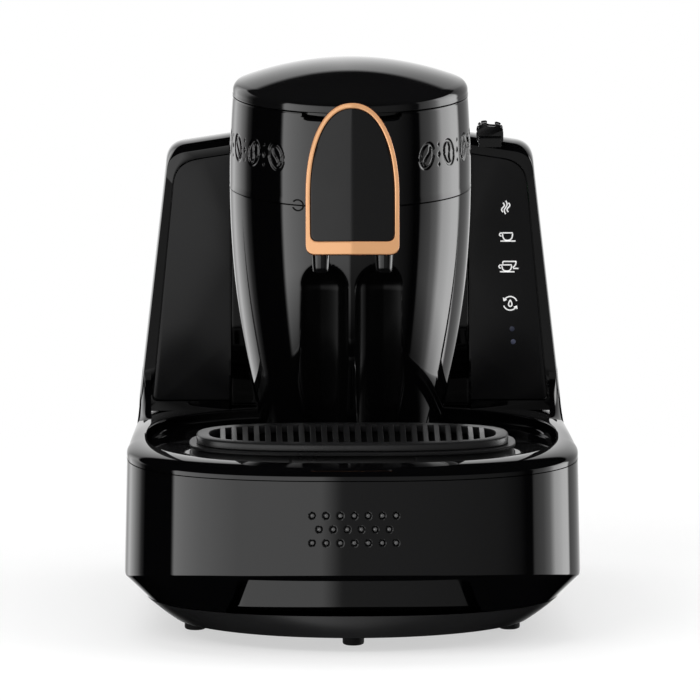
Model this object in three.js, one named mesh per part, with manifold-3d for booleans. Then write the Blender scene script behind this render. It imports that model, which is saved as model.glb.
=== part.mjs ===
// Electric Turkish coffee maker: a central brewing tower with two spouts over a cup platform,
// two side wings that carry the touch panel, and a water tank behind them.
// Millimetres, +Z up, front towards -Y, origin on the table under the middle of the machine.
import * as THREE from 'three';
import { mergeVertices } from 'three/addons/utils/BufferGeometryUtils.js';
import Module from 'manifold-3d';

const wasm = await Module();
wasm.setup();

// Shared clearances and walls
const fit = 0.3;               // gap between pieces that seat on each other
const overrun = 6;             // how far a cut runs past the wall that it opens
const shellWall = 2.6;
const outlineSteps = 32;
const towerSteps = 24;

// Body outline in plan
const bodyHalfWidth = 120.2;
const bodyFrontReach = 80;     // from the widest line forwards
const bodyRearReach = 204;     // from the widest line backwards
const bodyWidestY = -62;
const bodyFrontPower = 2.6;
const bodyRearPower = 6;
const bodyRearTaperShare = 0.112;

// Base band and undercut
const bandTopZ = 94.7;
const bandFlare = 1.3;         // the band grows this much towards its lower edge
const bandEdgeZ = 33;
const bandEdgeRise = 11;       // the lower edge climbs towards the front
const bandEdgeRiseStartY = -80;
const plinthTopZ = 20;
const plinthHalfWidth = 109.5;
const plinthFrontReach = 69;
const plinthRearReach = 198;
const plinthFrontPower = 2.3;
const plinthRearPower = 5.4;

// Base pan
const panBottomZ = 8;
const panHalfWidth = 94.5;
const panFrontReach = 67.5;
const panRearReach = 190;
const panFrontPower = 2;
const panRearPower = 5;
const panFloor = 2.5;

// Feet
const footRadius = 5.75;
const footTreadRadius = 4.9;
const footStemRadius = 2.6;
const footStemLength = 3;
const frontFootY = -104;
const sideFootX = 83.7;
const sideFootY = -58;
const rearFootX = 64;
const rearFootY = 92;

// Screws that hold the pan to the shell, and their bosses
const screwRadius = 1.7;
const screwHeadRadius = 3.4;
const screwHeadHeight = 2.6;
const screwLength = 26;
const bossRadius = 5.2;
const bossHeight = 22;
const bossRib = 2.4;
const frontScrewX = 50;
const frontScrewY = -98;
const rearScrewX = 32;
const rearScrewY = 112;

// Finger recess under the band
const gripHalfWidthTop = 58;
const gripHalfWidthBottom = 63;
const gripTopZ = 41;
const gripCorner = 6;
const gripBackY = -118;

// Loudspeaker dimples and the buzzer behind them
const dimpleRadius = 1.9;
const dimpleDepth = 1.6;
const dimplePitchX = 7.4;
const dimplePitchZ = 7.5;
const dimpleMiddleZ = 67.6;
const dimpleRowCounts = [7, 6, 7];
const buzzerRadius = 17;
const buzzerDepth = 8;
const buzzerPad = 5;           // thickness of the pad that the buzzer lies on
const buzzerCollar = 2.2;
const buzzerCollarShare = 0.8;
const buzzerMagnetShare = 0.55;

// Rim, basin and tray well of the upper housing
const rimFaceHeight = 4.7;
const rimCrestHeight = 7.1;
const rimCrestInset = 3.4;
const rimSideWidth = 11.2;
const basinHalfWidth = bodyHalfWidth - rimSideWidth;
const basinReach = 85;
const basinMiddleY = -40;
const basinPower = 2.6;
const basinDepth = 6.8;
const wireHoleRadius = 12;

// Wings
const wingInnerX = 66;
const wingFrontY = 38;
const wingBackY = 60;
const wingTopInnerZ = 249.2;
const wingTopSlopeShare = 0.155;
const wingFootHalfWidth = 114.6;
const wingTopHalfWidth = 97.6;
const wingCorner = 9;
const wingBevel = 1.5;
const flareRadius = 20;
const flareInnerX = 104.5;

// Panels set into the wings
const panelThickness = 2;
const panelSetBack = 0.6;
const panelTopInset = 5.5;
const panelOuterInsetTop = 2.6;
const panelOuterInsetBottom = 6.8;
const panelBottomZ = 107;
const panelCorner = 12;
const panelFootCorner = 3.5;

// Touch board behind the right panel, and its two lamps
const boardThickness = 1.6;
const touchBoardWidth = 24;
const touchBoardHeight = 100;
const touchBoardX = 84;
const touchBoardZ = 175;
const ledRadius = 1.35;
const ledUpperX = 87;
const ledUpperZ = 145.5;
const ledLowerX = 87.6;
const ledLowerZ = 138.5;

// Spine behind the tower
const spineHalfWidth = 67;
const spineBackY = 105;

// Tower
const lidTopZ = 293.5;
const lidHeight = 18.5;
const collarHeight = 50;
const lidSeamZ = lidTopZ - lidHeight;
const towerSeamZ = lidSeamZ - collarHeight;
const towerMiddleY = 28;
const towerWideHalfWidth = 64.5;
const towerWideRise = 5;       // the widest place lies this far above the lower seam
const towerWideZ = towerSeamZ + towerWideRise;
const towerFootHalfWidth = 50.2;
const towerFootZ = 105;
const towerTopHalfWidth = 62.9;
const towerDepthShare = 1.07;
const towerWall = 2.4;
const towerLip = 1;            // the seams stand out by this much
const towerLipHeight = 1.8;
const shelfThickness = 3;
const nicheX = 16.8;
const nicheRadius = 16;
const nicheDepth = 7.5;
const nicheTopDrop = 30;
const nicheTopZ = towerSeamZ - nicheTopDrop;
const notchHalfWidth = 26;
const notchHeight = 4;
const notchDepth = 1.4;

// Lid
const lidRimHeight = 2.4;
const lidShoulder = 5;
const lidShoulderTurn = 60 * Math.PI / 180;
const lidWall = 2.4;
const lidDomeShares = [0.7, 0.36];  // where the dome's rings lie between its crown and its edge
const lidCrownShare = 0.05;
const lidSkirtWall = 2.4;

// Lid hinge
const hingeY = 98;
const hingeRise = 1;
const hingeZ = lidSeamZ + hingeRise;
const hingeRadius = 4;
const hingePinRadius = 1.9;
const hingeKnuckleHalf = 12;
const hingeEarLength = 6.5;

// Brewing pot
const potMiddleY = 12;
const potFlangeDrop = 15.7;
const potDepth = 93;
const potFlangeZ = lidSeamZ - potFlangeDrop;
const potBottomZ = potFlangeZ - potDepth;
const potWaistRise = 9.7;
const potWaistZ = potBottomZ + potWaistRise;
const potTopRadius = 42;
const potFlangeRadius = 47;
const potFlangeThickness = 1.8;
const potWall = 1.4;
const potOutletRise = 23.7;
const potInletRise = 45.7;
const potOutletZ = potBottomZ + potOutletRise;
const potInletZ = potBottomZ + potInletRise;
const nippleRadius = 2.4;
const nippleLength = 2.6;
const ledgeThickness = 3;
const shelfDrop = 20.3;        // from the pot's underside down to the shelf
const shelfZ = potBottomZ - shelfDrop;
const gasketHeight = 2;

// Heater, shield and sensor under the pot
const heaterThickness = 8;
const heaterBoreRadius = 5;
const shieldGap = 1.4;         // from the shield to the tower's niches
const heaterGap = 8.5;         // from the shield in to the heater, the pot's underside and its waist
const potUndersideGap = 6.5;
const potWaistGap = 3;
const shelfSeatWidth = 4;      // what the shelf's hole leaves under the shield
const shieldSeatShare = 0.8;
const shieldFlareShare = 0.85;
const shieldWall = 1.2;
const shieldHeight = 30;
const sensorRadius = 4;

// Badge and spout head
const badgeHalfWidth = 25.3;
const badgeArch = 50.2;
const badgeStraight = 31;
const badgePower = 2.2;
const badgeCorner = 4.5;
const badgeRimSide = 2.2;
const badgeRimTop = 3;
const badgeRimBottom = 8;
const badgeInsertCorner = 3;
const badgeThickness = 3;
const insertThickness = 2.2;
const badgeBottomY = -69;
const badgeBottomDrop = 21.2;
const badgeBottomZ = towerSeamZ - badgeBottomDrop;
const badgeLean = 15.5 * Math.PI / 180;
const headInset = 0.7;
const spoutX = 16.8;
const spoutY = -60;
const spoutTopRadius = 5;
const spoutTipRadius = 4.2;
const spoutBoreRadius = 2.9;
const spoutLength = 10;
const transferRadius = 2.2;
const transferRise = 10.2;
const transferZ = badgeBottomZ + transferRise;

// Cup platform
const trayHalfWidth = 86.8;
const trayReach = 37.5;
const trayMiddleY = -64.5;
const trayPower = 2.8;
const trayRingHeight = 7.4;
const trayRingWidth = 6.4;
const trayWaist = 1.5;
const trayLipHeight = 1.7;
const trayRecessHalfWidth = 33.5;
const sumpInset = 8;
const sumpDepth = 15;
const sumpDraft = 6;
const trayWall = 2;
const grilleInset = 3.8;
const grilleThickness = 4;
const grilleBorder = 7;
const slotPitch = 6;
const slotWidth = 3;
const slotSide = 12;           // how many slots lie on each side of the middle one

// Water tank
const tankFrontY = 61;
const tankInnerGap = 0.7;
const tankFootArm = 39;        // width of the arms beside the spine, at the foot and at the top
const tankTopArm = 27;
const tankFootHalfWidth = spineHalfWidth + tankFootArm;
const tankTopHalfWidth = spineHalfWidth + tankTopArm;
const tankFootRearY = 136;
const tankTopRearY = 131;
const tankTopDrop = 18.2;       // from the wings' top edge down to the tank's
const tankTopZ = wingTopInnerZ - tankTopDrop;
const tankPower = 5;
const tankWall = 2.4;
const nozzleX = 40;
const nozzleY = 121;
const nozzleRadius = 6;
const nozzleBoreRadius = 3.2;
const nozzleLength = 7;
const valveHeadRadius = 4.8;
const valveHeadThickness = 1.5;
const valveSeatShare = 0.8;
const valveStemRadius = 1.4;
const gasketSection = 2.4;

// Tank lid and its hinge
const tankLidThickness = 3;
const tankLidOverhang = 1;
const tankLidLip = 3;
const tankHingeY = 133.5;
const tankHingeRise = 5;
const tankHingeZ = tankTopZ + tankHingeRise;
const tankHingeRadius = 3.2;
const tankPinRadius = 1.3;
const tankKnuckleHalf = 20;
const tankEarLength = 6;
const tankEarDrop = 13;

// Latch at the tank's front corner
const latchInset = 19;
const latchX = tankTopHalfWidth - latchInset;
const latchHalfWidth = 6;
const latchCheek = 1.7;
const latchPinY = 46;
const latchPinDrop = 1.9;
const latchPinZ = wingTopInnerZ - latchPinDrop;
const latchPinRadius = 1;
const latchBarrelRadius = 1.8;
const latchLipGap = 0.7;
const latchLipThickness = 1.7;
const latchLipDrop = 2.5;
const latchLipZ = latchPinZ - latchLipDrop;
const latchEndRadius = 2.1;
const latchNotchMargin = 0.8;
const latchRoof = 1.2;
const tongueHalfThickness = 1;
const tongueRiser = 3;
const latchHornHeight = 1.6;
const hornBulgeShare = 0.8;

// Parts in the base
const postRadius = 3;
const postHeight = 7.5;
const mainBoardLeft = -86;
const mainBoardRight = -18;
const mainBoardFront = -8;
const mainBoardBack = 62;
const mainBoardParts = 9;      // height of the parts on the board
const capacitorShares = [[0.25, 0.3], [0.25, 0.55], [0.25, 0.8]];  // places along the board's width and depth
const relayShares = [0.65, 0.5];
const supplyLeft = 26;
const supplyRight = 78;
const supplyFront = -62;
const supplyBack = -12;
const supplyHeight = 26;
const pumpRadius = 16;
const pumpLength = 56;
const pumpX = 36;
const pumpY = 58;
const pumpZ = 38;
const pumpCapShare = 0.7;
const pumpNippleRadius = 4;
const pumpNippleLength = 5;
const pumpMountWidth = 10;
const pumpMountDepth = 26;
const hoseRadius = 3.6;

// Power switch and cord gland in the back wall
const rearPad = 10;            // depth of the pad behind the back wall
const rearRecess = 2;
const bezelX = 40;
const bezelZ = 62;
const bezelHalfWidth = 10;
const bezelHalfHeight = 14;
const bezelFlange = 1.6;
const bezelSleeve = 2;
const bezelDepth = 10;
const rockerHalfWidth = 6;
const rockerHalfHeight = 8.8;
const rockerCrown = 5;
const rockerBackShare = 0.5;
const rockerSpread = 1.2;      // the rocker's ends stand this much above its middle
const rockerRest = 7 * Math.PI / 180;
const rockerPinRadius = 1.5;
const rockerPinLength = 1.3;
const glandX = -40;
const glandZ = 62;
const glandRadius = 6.5;
const glandFlangeRadius = 9;
const glandFlange = 1.6;
const glandBoreRadius = 3.6;
const rearPadMargin = 5;

// Materials
const glossBlack = () => finish(0x0b0b0c, 0.12, 0);
const satinBlack = () => finish(0x1c1c1d, 0.4, 0);
const copper = () => finish(0xe3a07a, 0.28, 1);
const insertBlack = () => finish(0x121213, 0.3, 0);
const rubber = () => finish(0x141414, 0.8, 0);
const seal = () => finish(0xb9b4aa, 0.7, 0);
const steel = () => finish(0xb4b6b8, 0.3, 1);
const smoke = () => finish(0x17181a, 0.15, 0);
const boardGreen = () => finish(0x1d4a2c, 0.6, 0);
const hosePlastic = () => finish(0xd8d5cc, 0.5, 0);
const lens = () => finish(0x4a5568, 0.25, 0);

function finish(color, roughness, metalness) {
  return new THREE.MeshStandardMaterial({ color, roughness, metalness });
}

// Solids: joining and cutting

const weldGap = 1e-4;

// Signed volume of loose triangles, negative where the faces point in.
function signedVolume(position, index) {
  let sum = 0;
  const [a, b, c] = [new THREE.Vector3(), new THREE.Vector3(), new THREE.Vector3()];
  for (let i = 0; i < index.length; i += 3) {
    a.fromBufferAttribute(position, index[i]);
    b.fromBufferAttribute(position, index[i + 1]);
    c.fromBufferAttribute(position, index[i + 2]);
    sum += a.dot(b.cross(c)) / 6;
  }
  return sum;
}

function solid(geometry) {
  const bare = geometry.clone();
  bare.deleteAttribute('normal');
  bare.deleteAttribute('uv');
  const welded = mergeVertices(bare, weldGap);
  const index = welded.index.array;
  const faces = [];
  const inward = signedVolume(welded.attributes.position, index) < 0;
  for (let i = 0; i < index.length; i += 3) {
    const [a, b, c] = [index[i], index[i + 1], index[i + 2]];
    if (a === b || b === c || c === a) continue;
    faces.push(a, inward ? c : b, inward ? b : c);
  }
  const vertProperties = new Float32Array(welded.attributes.position.array);
  return new wasm.Manifold(new wasm.Mesh({ numProp: 3, vertProperties, triVerts: new Uint32Array(faces) }));
}

function geometryOf(body) {
  const mesh = body.getMesh();
  const geometry = new THREE.BufferGeometry();
  geometry.setAttribute('position', new THREE.BufferAttribute(new Float32Array(mesh.vertProperties), 3));
  geometry.setIndex(new THREE.BufferAttribute(new Uint32Array(mesh.triVerts), 1));
  geometry.computeVertexNormals();
  return geometry;
}

const joined = (...bodies) => bodies.reduce((sum, body) => sum.add(body));

// Basic bodies, each placed in the machine's frame

function box(x0, x1, y0, y1, z0, z1) {
  const geometry = new THREE.BoxGeometry(x1 - x0, y1 - y0, z1 - z0);
  return solid(geometry.translate((x0 + x1) / 2, (y0 + y1) / 2, (z0 + z1) / 2));
}

function extruded(shape, length, bevel, curveSteps) {
  const options = { depth: length, curveSegments: curveSteps, bevelEnabled: bevel > 0 };
  if (bevel > 0) {
    Object.assign(options, { bevelThickness: bevel, bevelSize: bevel, bevelOffset: -bevel, bevelSegments: 2 });
    options.depth = length - 2 * bevel;
  }
  return new THREE.ExtrudeGeometry(shape, options).translate(0, 0, bevel);
}

// A shape drawn in plan, raised from one height to another.
function raised(shape, z0, z1, bevel = 0, curveSteps = 6) {
  return solid(extruded(shape, z1 - z0, bevel, curveSteps).translate(0, 0, z0));
}

// A shape drawn as seen from the front (x, z), carried from one depth to another.
function facing(shape, y0, y1, bevel = 0, curveSteps = 6) {
  return solid(extruded(shape, y1 - y0, bevel, curveSteps).rotateX(Math.PI / 2).translate(0, y1, 0));
}

// A shape drawn as seen from the side (y, z), carried along x.
function sideways(shape, x0, x1, curveSteps = 6) {
  const turn = new THREE.Matrix4().makeBasis(
    new THREE.Vector3(0, 1, 0), new THREE.Vector3(0, 0, 1), new THREE.Vector3(1, 0, 0));
  return solid(extruded(shape, x1 - x0, 0, curveSteps).applyMatrix4(turn).translate(x0, 0, 0));
}

function rod(radius, from, to, steps = 12) {
  const start = new THREE.Vector3(...from);
  const along = new THREE.Vector3(...to).sub(start);
  const geometry = new THREE.CylinderGeometry(radius, radius, along.length(), steps);
  const turn = new THREE.Quaternion().setFromUnitVectors(new THREE.Vector3(0, 1, 0), along.clone().normalize());
  geometry.applyQuaternion(turn);
  return solid(geometry.translate(...start.addScaledVector(along, 0.5).toArray()));
}

// A profile of (radius, height) points turned about a vertical axis.
function turned(profile, x, y, steps = 24) {
  const points = profile.map(([radius, height]) => new THREE.Vector2(radius, height));
  return solid(new THREE.LatheGeometry(points, steps).rotateX(Math.PI / 2).translate(x, y, 0));
}

// The same profile turned about an axis that points backwards, with height read as y.
function turnedBack(profile, x, z, steps = 24) {
  const points = profile.map(([radius, depth]) => new THREE.Vector2(radius, depth));
  return solid(new THREE.LatheGeometry(points, steps).translate(x, 0, z));
}

function hose(places, radius, sides, steps) {
  const path = new THREE.CatmullRomCurve3(places.map((place) => new THREE.Vector3(...place)));
  const section = new THREE.Shape();
  for (let i = 0; i < sides; i++) {
    const turn = 2 * Math.PI * i / sides;
    const [x, y] = [radius * Math.cos(turn), radius * Math.sin(turn)];
    if (i === 0) section.moveTo(x, y);
    else section.lineTo(x, y);
  }
  return solid(new THREE.ExtrudeGeometry(section, { steps, extrudePath: path, curveSegments: 1 }));
}

// Skins a stack of closed rings that all have the same number of points.
function lofted(rings) {
  const count = rings[0].length;
  const positions = rings.flat().flatMap((point) => point.toArray());
  const faces = [];
  for (let level = 0; level + 1 < rings.length; level++) {
    for (let i = 0; i < count; i++) {
      const [a, b] = [level * count + i, level * count + (i + 1) % count];
      faces.push(a, b, b + count, a, b + count, a + count);
    }
  }
  const cap = (ring) => THREE.ShapeUtils.triangulateShape(ring.map((p) => new THREE.Vector2(p.x, p.y)), []);
  for (const [a, b, c] of cap(rings[0])) faces.push(a, c, b);
  const last = (rings.length - 1) * count;
  for (const [a, b, c] of cap(rings.at(-1))) faces.push(last + a, last + b, last + c);
  const geometry = new THREE.BufferGeometry();
  geometry.setAttribute('position', new THREE.BufferAttribute(new Float32Array(positions), 3));
  geometry.setIndex(faces);
  return solid(geometry);
}

// Outlines

const signedPower = (value, power) => Math.sign(value) * Math.abs(value) ** power;

// A closed plan outline whose front and back halves are superellipses of their own.
function planRing(o, inset, heightAt, steps = outlineSteps) {
  const points = [];
  for (let i = 0; i < steps; i++) {
    const turn = 2 * Math.PI * i / steps;
    const [c, s] = [Math.cos(turn), Math.sin(turn)];
    const back = s > 0;
    const power = 2 / (back ? o.rearPower : o.frontPower);
    const reach = back ? o.rearReach : o.frontReach;
    const narrow = 1 - (back ? o.taperShare * Math.abs(s) ** power : 0);
    const x = signedPower(c, power) * (o.halfWidth - inset) * narrow;
    const y = o.middleY + signedPower(s, power) * (reach - inset);
    points.push(new THREE.Vector3(x, y, heightAt(y)));
  }
  return points;
}

const level = (z) => () => z;

const body = {
  halfWidth: bodyHalfWidth, frontReach: bodyFrontReach, rearReach: bodyRearReach, middleY: bodyWidestY,
  frontPower: bodyFrontPower, rearPower: bodyRearPower, taperShare: bodyRearTaperShare,
};
const plinth = {
  halfWidth: plinthHalfWidth, frontReach: plinthFrontReach, rearReach: plinthRearReach, middleY: bodyWidestY,
  frontPower: plinthFrontPower, rearPower: plinthRearPower, taperShare: bodyRearTaperShare,
};
const pan = {
  halfWidth: panHalfWidth, frontReach: panFrontReach, rearReach: panRearReach, middleY: bodyWidestY,
  frontPower: panFrontPower, rearPower: panRearPower, taperShare: bodyRearTaperShare,
};
const evenOval = (halfWidth, reach, middleY, power) => ({
  halfWidth, frontReach: reach, rearReach: reach, middleY, frontPower: power, rearPower: power, taperShare: 0,
});
const basin = evenOval(basinHalfWidth, basinReach, basinMiddleY, basinPower);
const tray = evenOval(trayHalfWidth, trayReach, trayMiddleY, trayPower);

// The same oval raised straight or with draft: [height, inset] pairs from the bottom up.
const stacked = (o, levels, steps) => lofted(levels.map(([z, inset]) => planRing(o, inset, level(z), steps)));

function roundedRect(halfWidth, halfHeight, corner, x = 0, y = 0) {
  const shape = new THREE.Shape();
  const [right, top] = [halfWidth - corner, halfHeight - corner];
  shape.absarc(x + right, y + top, corner, 0, Math.PI / 2);
  shape.absarc(x - right, y + top, corner, Math.PI / 2, Math.PI);
  shape.absarc(x - right, y - top, corner, Math.PI, 1.5 * Math.PI);
  shape.absarc(x + right, y - top, corner, 1.5 * Math.PI, 2 * Math.PI);
  return shape;
}

// Levels worked out from the sizes above
const shellTopZ = bandTopZ - fit;
const deckTopZ = bandTopZ + rimCrestHeight;
const deckMiddleZ = deckTopZ - shellWall / 2;
const basinFloorZ = deckTopZ - basinDepth;
const wingDrop = (x) => wingTopInnerZ - wingTopSlopeShare * (x - wingInnerX);
const wingSideX = (z) => wingFootHalfWidth
  - (wingFootHalfWidth - wingTopHalfWidth) * (z - bandTopZ) / (wingDrop(wingTopHalfWidth) - bandTopZ);
const spineFrontY = wingBackY - shellWall;
const towerBottomZ = basinFloorZ + fit;
const lowerTowerTopZ = towerSeamZ - fit / 2;
const collarBottomZ = towerSeamZ + fit / 2;
const collarTopZ = lidSeamZ - fit / 2;
const lidBottomZ = lidSeamZ + fit / 2;
const frontEdgeY = bodyWidestY - bodyFrontReach - bandFlare;
const rearEdgeY = bodyWidestY + bodyRearReach + bandFlare;
const bandEdgeSlopeShare = bandEdgeRise / (bandEdgeRiseStartY - frontEdgeY);
const bandEdgeAt = (y) => bandEdgeZ + bandEdgeSlopeShare * Math.max(0, bandEdgeRiseStartY - y);

// The pot, its heater and shield follow the room that the niches leave at the shelf.
const shieldBottomZ = shelfZ + shelfThickness + fit;
const nicheBackY = nicheFaceY(shieldBottomZ) + nicheDepth + towerWall;
const shieldRadius = Math.hypot(nicheX, potMiddleY - nicheBackY) - shieldGap;
const heaterRadius = shieldRadius - heaterGap;
const potBottomRadius = shieldRadius - potUndersideGap;
const potWaistRadius = shieldRadius - potWaistGap;
const shelfHoleRadius = heaterRadius - shelfSeatWidth;

// Outer radius of the pot at a height above its waist.
const potRadiusAt = (z) => potWaistRadius
  + (potTopRadius - potWaistRadius) * (z - potWaistZ) / (potFlangeZ - potWaistZ);

// Half-width of the tower at a height.
function towerHalfWidth(z) {
  if (z > towerWideZ) {
    const share = (z - towerWideZ) / (lidSeamZ - towerWideZ);
    return towerWideHalfWidth - (towerWideHalfWidth - towerTopHalfWidth) * share * share;
  }
  const share = (towerWideZ - z) / (towerWideZ - towerFootZ);
  return towerWideHalfWidth - (towerWideHalfWidth - towerFootHalfWidth) * share * share;
}

// Front face of the tower where a niche lies.
function nicheFaceY(z) {
  const half = towerHalfWidth(z);
  return towerMiddleY - half * towerDepthShare * Math.sqrt(1 - (nicheX / half) ** 2);
}

function towerRing(halfWidth, z, grow, steps = towerSteps) {
  const points = [];
  for (let i = 0; i < steps; i++) {
    const turn = 2 * Math.PI * i / steps;
    const x = (halfWidth + grow) * Math.cos(turn);
    points.push(new THREE.Vector3(x, towerMiddleY + (halfWidth * towerDepthShare + grow) * Math.sin(turn), z));
  }
  return points;
}

function towerStack(z0, z1, grow, steps = 3) {
  const rings = [];
  for (let i = 0; i <= steps; i++) {
    const z = z0 + (z1 - z0) * i / steps;
    rings.push(towerRing(towerHalfWidth(z), z, grow));
  }
  return lofted(rings);
}

const towerFrontY = (z) => towerMiddleY - towerHalfWidth(z) * towerDepthShare;

const group = new THREE.Group();
group.name = 'turkish_coffee_maker';

function place(name, solidBody, material) {
  const mesh = new THREE.Mesh(geometryOf(solidBody), material);
  mesh.name = name;
  group.add(mesh);
}

// Base: shell, pan, feet and screws

const screwPlaces = [
  ['front_left', -frontScrewX, frontScrewY], ['front_right', frontScrewX, frontScrewY],
  ['rear_left', -rearScrewX, rearScrewY], ['rear_right', rearScrewX, rearScrewY],
];
const footPlaces = [
  ['front', 0, frontFootY], ['left', -sideFootX, sideFootY], ['right', sideFootX, sideFootY],
  ['rear_left', -rearFootX, rearFootY], ['rear_right', rearFootX, rearFootY],
];

// The band and the undercut below it, from the plinth seam up to the rim seam.
function bandBody(inset, bottomZ, topZ) {
  return lofted([
    planRing(plinth, inset, level(bottomZ)),
    planRing(body, inset - bandFlare, bandEdgeAt),
    planRing(body, inset, level(topZ)),
  ]);
}

function gripShape(grow) {
  const shape = new THREE.Shape();
  const [bottom, top] = [gripHalfWidthBottom + grow, gripHalfWidthTop + grow];
  const roof = gripTopZ + grow;
  const floor = plinthTopZ - overrun;
  shape.moveTo(-bottom, floor);
  shape.lineTo(bottom, floor);
  shape.lineTo(top, roof - gripCorner);
  shape.quadraticCurveTo(top, roof, top - gripCorner, roof);
  shape.lineTo(-top + gripCorner, roof);
  shape.quadraticCurveTo(-top, roof, -top, roof - gripCorner);
  return shape;
}

const bandFaceY = (x) => bodyWidestY
  - bodyFrontReach * (1 - Math.abs(x / bodyHalfWidth) ** bodyFrontPower) ** (1 / bodyFrontPower);

function dimple(x, z) {
  const floorY = bandFaceY(x) + dimpleDepth;
  return rod(dimpleRadius, [x, floorY, z], [x, floorY - overrun, z], 7);
}

// A rectangular pad inside the back wall, and the recess cut into it from behind.
function rearPadBody(x, z, halfWidth, halfHeight) {
  const [w, h] = [halfWidth + rearPadMargin, halfHeight + rearPadMargin];
  return box(x - w, x + w, rearEdgeY - rearPad - bandFlare, rearEdgeY - bandFlare, z - h, z + h);
}

const rearFloorY = rearEdgeY - bandFlare - rearRecess;

function baseShell() {
  const outside = bandBody(0, plinthTopZ + fit, shellTopZ);
  const inside = joined(
    bandBody(shellWall, plinthTopZ + fit, shellTopZ),
    stacked(plinth, [[plinthTopZ - overrun, shellWall], [plinthTopZ + fit, shellWall]]),
    stacked(body, [[shellTopZ, shellWall], [shellTopZ + overrun, shellWall]]));
  let shell = outside.subtract(inside);
  const additions = [
    facing(gripShape(shellWall), frontEdgeY, gripBackY + shellWall),
    rod(buzzerRadius + fit + buzzerCollar, [0, frontEdgeY, dimpleMiddleZ],
      [0, buzzerSeatY + buzzerDepth * buzzerCollarShare, dimpleMiddleZ], 20),
    rearPadBody(bezelX, bezelZ, bezelHalfWidth, bezelHalfHeight),
    rearPadBody(glandX, glandZ, glandFlangeRadius, glandFlangeRadius),
  ];
  for (const [, x, y] of screwPlaces) {
    const bossTop = plinthTopZ + fit + bossHeight;
    const wallY = y < 0 ? gripBackY : rearEdgeY;
    additions.push(rod(bossRadius, [x, y, plinthTopZ + fit], [x, y, bossTop]));
    additions.push(box(x - bossRib / 2, x + bossRib / 2, Math.min(y, wallY), Math.max(y, wallY),
      plinthTopZ + fit, bossTop));
  }
  shell = shell.add(joined(...additions).intersect(outside));
  const cuts = [
    facing(gripShape(0), frontEdgeY - overrun, gripBackY),
    rod(buzzerRadius + fit, [0, buzzerSeatY, dimpleMiddleZ], [0, buzzerSeatY + buzzerDepth + overrun,
      dimpleMiddleZ], 20),
    facing(roundedRect(bezelHalfWidth + fit, bezelHalfHeight + fit, shellWall, bezelX, bezelZ),
      rearFloorY, rearEdgeY + overrun, 0, 3),
    facing(roundedRect(sleeveHalfWidth + fit, sleeveHalfHeight + fit, shellWall / 2, bezelX, bezelZ),
      rearEdgeY - rearPad - bandFlare - overrun, rearEdgeY, 0, 3),
    rod(glandFlangeRadius + fit, [glandX, rearFloorY, glandZ], [glandX, rearEdgeY + overrun, glandZ], 16),
    rod(glandRadius + fit, [glandX, rearEdgeY - rearPad - bandFlare - overrun, glandZ],
      [glandX, rearEdgeY, glandZ], 16),
  ];
  for (const [, x, y] of screwPlaces) {
    cuts.push(rod(screwRadius + fit, [x, y, plinthTopZ - overrun],
      [x, y, panBottomZ + screwHeadHeight + screwLength + shellWall], 8));
  }
  dimpleRowCounts.forEach((count, row) => {
    for (let i = 0; i < count; i++) {
      const x = (i - (count - 1) / 2) * dimplePitchX;
      cuts.push(dimple(x, dimpleMiddleZ + ((dimpleRowCounts.length - 1) / 2 - row) * dimplePitchZ));
    }
  });
  return shell.subtract(joined(...cuts));
}

const screwSeatZ = panBottomZ + screwHeadHeight + 2 * fit;

function basePan() {
  const outer = lofted([planRing(pan, 0, level(panBottomZ)), planRing(plinth, 0, level(plinthTopZ))]);
  const inner = lofted([
    planRing(pan, shellWall, level(panBottomZ + panFloor)),
    planRing(plinth, shellWall, level(plinthTopZ)),
    planRing(plinth, shellWall, level(plinthTopZ + overrun)),
  ]);
  const postTop = panBottomZ + panFloor + postHeight;
  const additions = screwPlaces.map(([, x, y]) => rod(bossRadius, [x, y, panBottomZ], [x, y, plinthTopZ]));
  for (const [x, y] of [...boardPosts, ...supplyPosts]) {
    additions.push(rod(postRadius, [x, y, panBottomZ], [x, y, postTop], 6));
  }
  const cuts = [];
  for (const [, x, y] of screwPlaces) {
    cuts.push(rod(screwRadius + fit, [x, y, panBottomZ - overrun], [x, y, plinthTopZ + overrun], 8));
    cuts.push(rod(screwHeadRadius + fit, [x, y, panBottomZ - overrun], [x, y, screwSeatZ], 12));
  }
  for (const [, x, y] of footPlaces) {
    cuts.push(rod(footStemRadius + fit, [x, y, panBottomZ - overrun], [x, y, panBottomZ + overrun], 8));
  }
  return outer.subtract(inner).add(joined(...additions)).subtract(joined(...cuts));
}

function foot(x, y) {
  const top = panBottomZ - fit;
  return turned([
    [0, 0], [footTreadRadius, 0], [footRadius, footRadius - footTreadRadius], [footRadius, top],
    [footStemRadius, top], [footStemRadius, top + footStemLength], [0, top + footStemLength],
  ], x, y, 12);
}

function screw(x, y) {
  const head = screwSeatZ - fit;
  return turned([
    [0, head - screwHeadHeight], [screwHeadRadius, head - screwHeadHeight], [screwHeadRadius, head],
    [screwRadius, head], [screwRadius, head + screwLength], [0, head + screwLength],
  ], x, y, 8);
}

// Where the boards stand on the pan's posts
const mainBoard = { left: mainBoardLeft, right: mainBoardRight, front: mainBoardFront, back: mainBoardBack };
const supply = {
  left: supplyLeft, right: supplyRight, front: supplyFront, back: supplyBack, height: supplyHeight,
};
const inCorners = (area, margin) => [
  [area.left + margin, area.front + margin], [area.right - margin, area.front + margin],
  [area.left + margin, area.back - margin], [area.right - margin, area.back - margin],
];
const boardPosts = inCorners(mainBoard, postRadius + fit);
const supplyPosts = inCorners(supply, postRadius + fit);
const boardSeatZ = panBottomZ + panFloor + postHeight + fit;

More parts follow.
